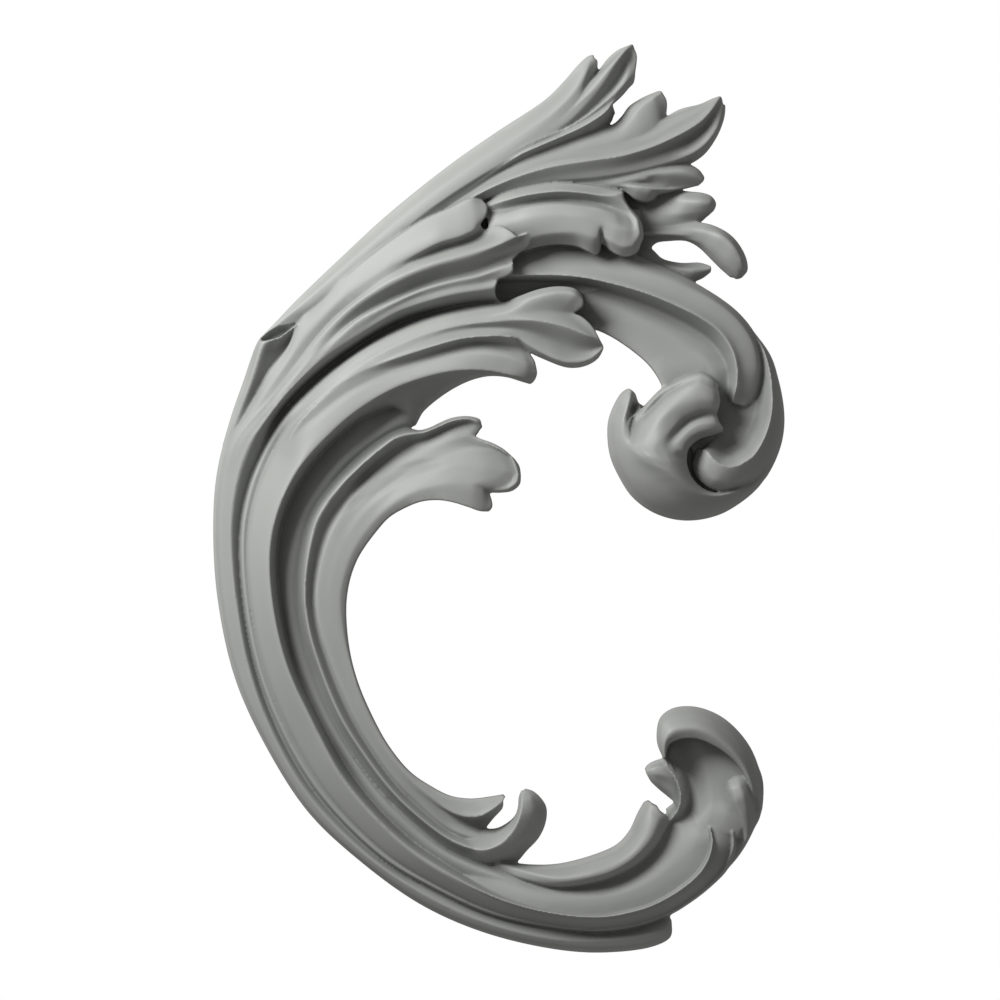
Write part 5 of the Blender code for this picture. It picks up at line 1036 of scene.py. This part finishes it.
def cut_flat(mesh):
    """Cuts away what lies behind the back plane and closes the cut with one flat face net."""
    net = bmesh.new()
    net.from_mesh(mesh)
    everything = net.verts[:] + net.edges[:] + net.faces[:]
    bmesh.ops.bisect_plane(net, geom=everything, plane_co=(0, 0, 0), plane_no=(0, 1, 0), clear_outer=True)
    rim = [edge for edge in net.edges if edge.is_boundary]
    bmesh.ops.triangle_fill(net, edges=rim, use_beauty=True, normal=(0, 1, 0))
    bmesh.ops.triangulate(net, faces=net.faces[:])
    bmesh.ops.recalc_face_normals(net, faces=net.faces[:])
    net.to_mesh(mesh)
    net.free()


def read_vectors(parts, name):
    """One three-part value of each of a mesh's vertices or faces, as an array."""
    values = np.empty(len(parts) * 3, np.float32)
    parts.foreach_get(name, values)
    return values.reshape(-1, 3).astype(float)


def write_points(mesh, points):
    """Moves the mesh's vertices to the points of an array."""
    mesh.vertices.foreach_set("co", points.astype(np.float32).ravel())
    mesh.update()


def neighbour_mean(values, edges, count):
    """For each vertex, the mean of a value over the vertices that share an edge with it."""
    total = np.zeros((count,) + values.shape[1:])
    np.add.at(total, edges[:, 0], values[edges[:, 1]])
    np.add.at(total, edges[:, 1], values[edges[:, 0]])
    links = np.bincount(edges.ravel(), minlength=count).astype(float)
    return total / np.maximum(links, 1).reshape((-1,) + (1,) * (values.ndim - 1))


def read_edges(mesh):
    """The mesh's edges as an array of vertex pairs."""
    edges = np.empty(len(mesh.edges) * 2, np.int32)
    mesh.edges.foreach_get("vertices", edges)
    return edges.reshape(-1, 2)


def level_back(mesh):
    """Lays every vertex that is nearly on the back plane exactly on it."""
    points = read_vectors(mesh.vertices, "co")
    points[np.abs(points[:, 1]) < FLAT_BAND, 1] = 0.0
    write_points(mesh, points)


def soften(mesh):
    """Takes the voxel steps off and rounds the rims. Each vertex in front of the back moves part of the
    way to the mean of its neighbours, a few times over, and more times beside an upright wall."""
    points = read_vectors(mesh.vertices, "co")
    edges = read_edges(mesh)
    free = points[:, 1] < -FLAT_BAND
    normals = read_vectors(mesh.vertices, "normal")
    near_wall = (np.abs(normals[:, 1]) < WALL_SLOPE).astype(float)
    for _ in range(RIM_REACH):
        near_wall = np.maximum(near_wall, neighbour_mean(near_wall, edges, len(points)))
    for turn in range(SMOOTH_ROUNDS + RIM_ROUNDS):
        pull = free * (1.0 if turn < SMOOTH_ROUNDS else near_wall) * SMOOTH_SHARE
        points += (neighbour_mean(points, edges, len(points)) - points) * pull[:, None]
    write_points(mesh, points)


def drop_slivers(mesh):
    """Deletes the loose pairs of back-to-back triangles that thinning leaves. Only their corners have
    fewer than three edges."""
    net = bmesh.new()
    net.from_mesh(mesh)
    corners = [corner for corner in net.verts if len(corner.link_edges) < LEAST_LINKS]
    bmesh.ops.delete(net, geom=corners, context="VERTS")
    net.to_mesh(mesh)
    net.free()


def open_caps(mesh):
    """Moves the blunt corner of every triangle that has gone nearly flat towards the mean of its
    neighbours, by a short step, so that no sliver catches the light."""
    points = read_vectors(mesh.vertices, "co")
    edges = read_edges(mesh)
    corners = np.empty(len(mesh.loops), np.int32)
    mesh.loops.foreach_get("vertex_index", corners)
    corners = corners.reshape(-1, 3)
    for _ in range(CAP_ROUNDS):
        blunt = np.zeros(len(points), bool)
        for turn in range(3):
            apex, first, second = (points[corners[:, (turn + k) % 3]] for k in range(3))
            one, other = first - apex, second - apex
            lengths = np.linalg.norm(one, axis=1) * np.linalg.norm(other, axis=1)
            cosine = (one * other).sum(axis=1) / np.maximum(lengths, LEAST_LENGTH)
            blunt[corners[cosine < BLUNT_COSINE, turn]] = True
        blunt &= points[:, 1] < -FLAT_BAND
        moves = (neighbour_mean(points, edges, len(points)) - points)[blunt]
        reach = np.linalg.norm(moves, axis=1, keepdims=True)
        points[blunt] += moves * np.minimum(1.0, CAP_MOVE / np.maximum(reach, LEAST_LENGTH))
    write_points(mesh, points)


def shade_front(mesh):
    """Shades the carving smooth and the back plane flat, so that the back's edge stays crisp."""
    normals = read_vectors(mesh.polygons, "normal")
    mesh.polygons.foreach_set("use_smooth", normals[:, 1] < BACK_FACING)


def mark_painted_shade_and_highlight(mesh):
    """Stores how far each vertex lies below its surroundings (hollow) or stands above them (crest):
    the vertex's height along its normal over the mean of its widening neighbourhood. The primer's
    material paints shade into the hollows and a highlight onto the crests by these values."""
    points = read_vectors(mesh.vertices, "co")
    edges = read_edges(mesh)
    normals = read_vectors(mesh.vertices, "normal")
    wide = points
    for _ in range(HOLLOW_ROUNDS):
        wide = neighbour_mean(wide, edges, len(points))
    rise = ((points - wide) * normals).sum(axis=1) / HOLLOW_DEPTH
    for _ in range(RISE_ROUNDS):
        rise = neighbour_mean(rise, edges, len(points))
    for name, value in (("hollow", -rise), ("crest", rise)):
        layer = mesh.attributes.new(name, "FLOAT", "POINT")
        layer.data.foreach_set("value", np.clip(value, 0, 1).astype(np.float32))


def carved_applique():
    """The whole casting as one closed mesh, at full detail."""
    mesh = joined_blocks(ornament())
    mesh = with_modifier(mesh, "REMESH", mode="VOXEL", voxel_size=VOXEL, adaptivity=0.0)
    cut_flat(mesh)
    soften(mesh)
    share = FACES_WANTED / len(mesh.polygons)
    mesh = with_modifier(mesh, "DECIMATE", ratio=share, use_collapse_triangulate=True)
    drop_slivers(mesh)
    open_caps(mesh)
    level_back(mesh)
    shade_front(mesh)
    mark_painted_shade_and_highlight(mesh)
    mesh.materials.clear()
    mesh.materials.append(grey_primer())
    piece = bpy.data.objects.new("carved_applique", mesh)
    bpy.context.scene.collection.objects.link(piece)
    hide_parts(NODE)
    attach(piece, "root")


# Finish: matt grey factory primer, sprayed over the casting, with painted shade in the hollows
# # and a painted highlight on the crests.
# How the hollows and crests are found that carry the painted shade and the painted highlight.
HOLLOW_ROUNDS = 12
HOLLOW_DEPTH = 0.0006
RISE_ROUNDS = 2
PRIMER = (0.300, 0.307, 0.293, 1.0)
# Painted shade: the darker grey laid into the hollows.
PRIMER_PAINTED_SHADE = (0.190, 0.195, 0.184, 1.0)
# Painted highlight: the paler grey laid onto the crests.
PRIMER_PAINTED_HIGHLIGHT = (0.370, 0.377, 0.360, 1.0)
PRIMER_SPECULAR = 0.35
PRIMER_ROUGH = (0.44, 0.56)
CLOUD_SCALE = 26.0
CLOUD_DETAIL = 4.0
CLOUD_TONE = (0.94, 1.06)
GRAIN_FINENESS = 2400.0
GRAIN_DETAIL = 3.0
GRAIN_ROUGH = 0.6
GRAIN_STRENGTH = 0.12
GRAIN_DEPTH = 0.0002


def socket(group, name, kind, way, value=None):
    """Gives a node group one named socket."""
    made = group.interface.new_socket(name=name, in_out=way, socket_type=kind)
    if value is not None:
        made.default_value = value


def spray_grain():
    """Node group: the fine pebbled skin of sprayed primer, as a height and as a small change of tone."""
    group = bpy.data.node_groups.new("spray_grain", "ShaderNodeTree")
    socket(group, "Vector", "NodeSocketVector", "INPUT")
    socket(group, "Fineness", "NodeSocketFloat", "INPUT", GRAIN_FINENESS)
    socket(group, "Height", "NodeSocketFloat", "OUTPUT")
    socket(group, "Tone", "NodeSocketFloat", "OUTPUT")
    nodes, links = group.nodes, group.links
    given = nodes.new("NodeGroupInput")
    result = nodes.new("NodeGroupOutput")
    fine = nodes.new("ShaderNodeTexNoise")
    fine.inputs["Detail"].default_value = GRAIN_DETAIL
    fine.inputs["Roughness"].default_value = GRAIN_ROUGH
    links.new(given.outputs["Vector"], fine.inputs["Vector"])
    links.new(given.outputs["Fineness"], fine.inputs["Scale"])
    cloudy = nodes.new("ShaderNodeTexNoise")
    cloudy.inputs["Scale"].default_value = CLOUD_SCALE
    cloudy.inputs["Detail"].default_value = CLOUD_DETAIL
    links.new(given.outputs["Vector"], cloudy.inputs["Vector"])
    links.new(fine.outputs["Fac"], result.inputs["Height"])
    links.new(cloudy.outputs["Fac"], result.inputs["Tone"])
    return group


def primer_with_painted_light():
    """Node group: the colour of the primer, with painted shade in a hollow and a painted highlight on a
    crest.
    """
    group = bpy.data.node_groups.new("primer_with_painted_light", "ShaderNodeTree")
    for name in ("Plain", "Shaded", "Highlit"):
        socket(group, name, "NodeSocketColor", "INPUT", PRIMER)
    for name in ("Hollow", "Crest", "Tone"):
        socket(group, name, "NodeSocketFloat", "INPUT", 0.0)
    socket(group, "Color", "NodeSocketColor", "OUTPUT")
    nodes, links = group.nodes, group.links
    given = nodes.new("NodeGroupInput")
    result = nodes.new("NodeGroupOutput")
    # Painted shade: the darker grey is mixed in by the hollow value.
    sunk = nodes.new("ShaderNodeMix")
    sunk.data_type = "RGBA"
    links.new(given.outputs["Hollow"], sunk.inputs["Factor"])
    links.new(given.outputs["Plain"], sunk.inputs["A"])
    links.new(given.outputs["Shaded"], sunk.inputs["B"])
    # Painted highlight: the paler grey is mixed in by the crest value.
    raised = nodes.new("ShaderNodeMix")
    raised.data_type = "RGBA"
    links.new(given.outputs["Crest"], raised.inputs["Factor"])
    links.new(sunk.outputs["Result"], raised.inputs["A"])
    links.new(given.outputs["Highlit"], raised.inputs["B"])
    spread = nodes.new("ShaderNodeMapRange")
    spread.inputs["To Min"].default_value = CLOUD_TONE[0]
    spread.inputs["To Max"].default_value = CLOUD_TONE[1]
    links.new(given.outputs["Tone"], spread.inputs["Value"])
    toned = nodes.new("ShaderNodeVectorMath")
    toned.operation = "SCALE"
    links.new(raised.outputs["Result"], toned.inputs["Vector"])
    links.new(spread.outputs["Result"], toned.inputs["Scale"])
    links.new(toned.outputs["Vector"], result.inputs["Color"])
    return group


def grey_primer():
    """The primer's material."""
    material = bpy.data.materials.new("grey_primer")
    material.use_nodes = True
    nodes, links = material.node_tree.nodes, material.node_tree.links
    shader = nodes["Principled BSDF"]
    place = nodes.new("ShaderNodeTexCoord")
    grain = nodes.new("ShaderNodeGroup")
    grain.node_tree = spray_grain()
    grain.inputs["Fineness"].default_value = GRAIN_FINENESS
    links.new(place.outputs["Object"], grain.inputs["Vector"])
    tone = nodes.new("ShaderNodeGroup")
    tone.node_tree = primer_with_painted_light()
    tone.inputs["Plain"].default_value = PRIMER
    # Painted shade in the hollows.
    tone.inputs["Shaded"].default_value = PRIMER_PAINTED_SHADE
    # Painted highlight on the crests.
    tone.inputs["Highlit"].default_value = PRIMER_PAINTED_HIGHLIGHT
    for name in ("hollow", "crest"):
        read = nodes.new("ShaderNodeAttribute")
        read.attribute_name = name
        links.new(read.outputs["Fac"], tone.inputs[name.capitalize()])
    links.new(grain.outputs["Tone"], tone.inputs["Tone"])
    links.new(tone.outputs["Color"], shader.inputs["Base Color"])
    gloss = nodes.new("ShaderNodeMapRange")
    gloss.inputs["To Min"].default_value = PRIMER_ROUGH[0]
    gloss.inputs["To Max"].default_value = PRIMER_ROUGH[1]
    links.new(grain.outputs["Tone"], gloss.inputs["Value"])
    links.new(gloss.outputs["Result"], shader.inputs["Roughness"])
    shader.inputs["Specular IOR Level"].default_value = PRIMER_SPECULAR
    bump = nodes.new("ShaderNodeBump")
    bump.inputs["Strength"].default_value = GRAIN_STRENGTH
    bump.inputs["Distance"].default_value = GRAIN_DEPTH
    links.new(grain.outputs["Height"], bump.inputs["Height"])
    links.new(bump.outputs["Normal"], shader.inputs["Normal"])
    return material


# Studio.
WHITE = (1.0, 1.0, 1.0, 1.0)
LENS = 300.0
SENSOR = 36.0
CLIP_END = 100.0
CAMERA_PLANE = -0.2 * RELIEF
FLOOR_DROP = 3.0 * HEIGHT
FLOOR_SIDE = 12.0
FLOOR_PAINT = (0.80, 0.80, 0.79, 1.0)
FLOOR_ROUGH = 0.85
KEY_FROM = Vector((-0.60, -0.58, 0.55))
KEY_DISTANCE = 0.85
KEY_WIDTH = 0.42
KEY_POWER = 9.0
SURROUND = 0.22
BACKDROP = 1.0


def centre_of_sheet():
    """The point of the part that the middle of the picture looks at."""
    return Vector(((SHEET_MIDDLE - ORIGIN_RIGHT) * UNIT, CAMERA_PLANE, (ORIGIN_DOWN - SHEET_MIDDLE) * UNIT))


def camera():
    """A long lens straight in front, at the distance where one sheet unit is one picture unit."""
    data = bpy.data.cameras.new("camera")
    data.lens = LENS
    data.sensor_width = SENSOR
    data.sensor_fit = "HORIZONTAL"
    data.clip_end = CLIP_END
    item = bpy.data.objects.new("camera", data)
    aim = centre_of_sheet()
    item.location = aim + Vector((0, -LENS / SENSOR * SHEET_WIDTH * UNIT, 0))
    item.rotation_euler = (math.pi / 2, 0, 0)
    bpy.context.scene.collection.objects.link(item)
    bpy.context.scene.camera = item


def soft_light(name, direction, distance, width, power):
    """A round soft light that looks at the middle of the part from one direction."""
    data = bpy.data.lights.new(name, "AREA")
    data.shape = "DISK"
    data.size = width
    data.energy = power
    item = bpy.data.objects.new(name, data)
    aim = centre_of_sheet()
    away = direction.normalized()
    item.location = aim + away * distance
    item.rotation_euler = away.to_track_quat("Z", "Y").to_euler()
    bpy.context.scene.collection.objects.link(item)


def surroundings():
    """White behind the part, and a dimmer white that lights it from all round."""
    world = bpy.data.worlds.new("studio")
    world.use_nodes = True
    nodes, links = world.node_tree.nodes, world.node_tree.links
    nodes.clear()
    seen = nodes.new("ShaderNodeLightPath")
    lit = nodes.new("ShaderNodeBackground")
    lit.inputs["Color"].default_value = WHITE
    lit.inputs["Strength"].default_value = SURROUND
    shown = nodes.new("ShaderNodeBackground")
    shown.inputs["Color"].default_value = WHITE
    shown.inputs["Strength"].default_value = BACKDROP
    both = nodes.new("ShaderNodeMixShader")
    end = nodes.new("ShaderNodeOutputWorld")
    links.new(seen.outputs["Is Camera Ray"], both.inputs[0])
    links.new(lit.outputs[0], both.inputs[1])
    links.new(shown.outputs[0], both.inputs[2])
    links.new(both.outputs[0], end.inputs["Surface"])
    bpy.context.scene.world = world


def floor():
    """A plain pale floor well below the part."""
    half = FLOOR_SIDE / 2
    level = LOW.z - FLOOR_DROP
    corners = [(-half, -half, level), (half, -half, level), (half, half, level), (-half, half, level)]
    mesh = bpy.data.meshes.new("floor")
    mesh.from_pydata(corners, [], [(0, 1, 2, 3)])
    material = bpy.data.materials.new("floor_paint")
    material.use_nodes = True
    shader = material.node_tree.nodes["Principled BSDF"]
    shader.inputs["Base Color"].default_value = FLOOR_PAINT
    shader.inputs["Roughness"].default_value = FLOOR_ROUGH
    mesh.materials.append(material)
    item = bpy.data.objects.new("floor", mesh)
    bpy.context.scene.collection.objects.link(item)


carved_applique()
camera()
soft_light("key", KEY_FROM, KEY_DISTANCE, KEY_WIDTH, KEY_POWER)
surroundings()
floor()
bpy.context.scene.view_settings.view_transform = "Standard"
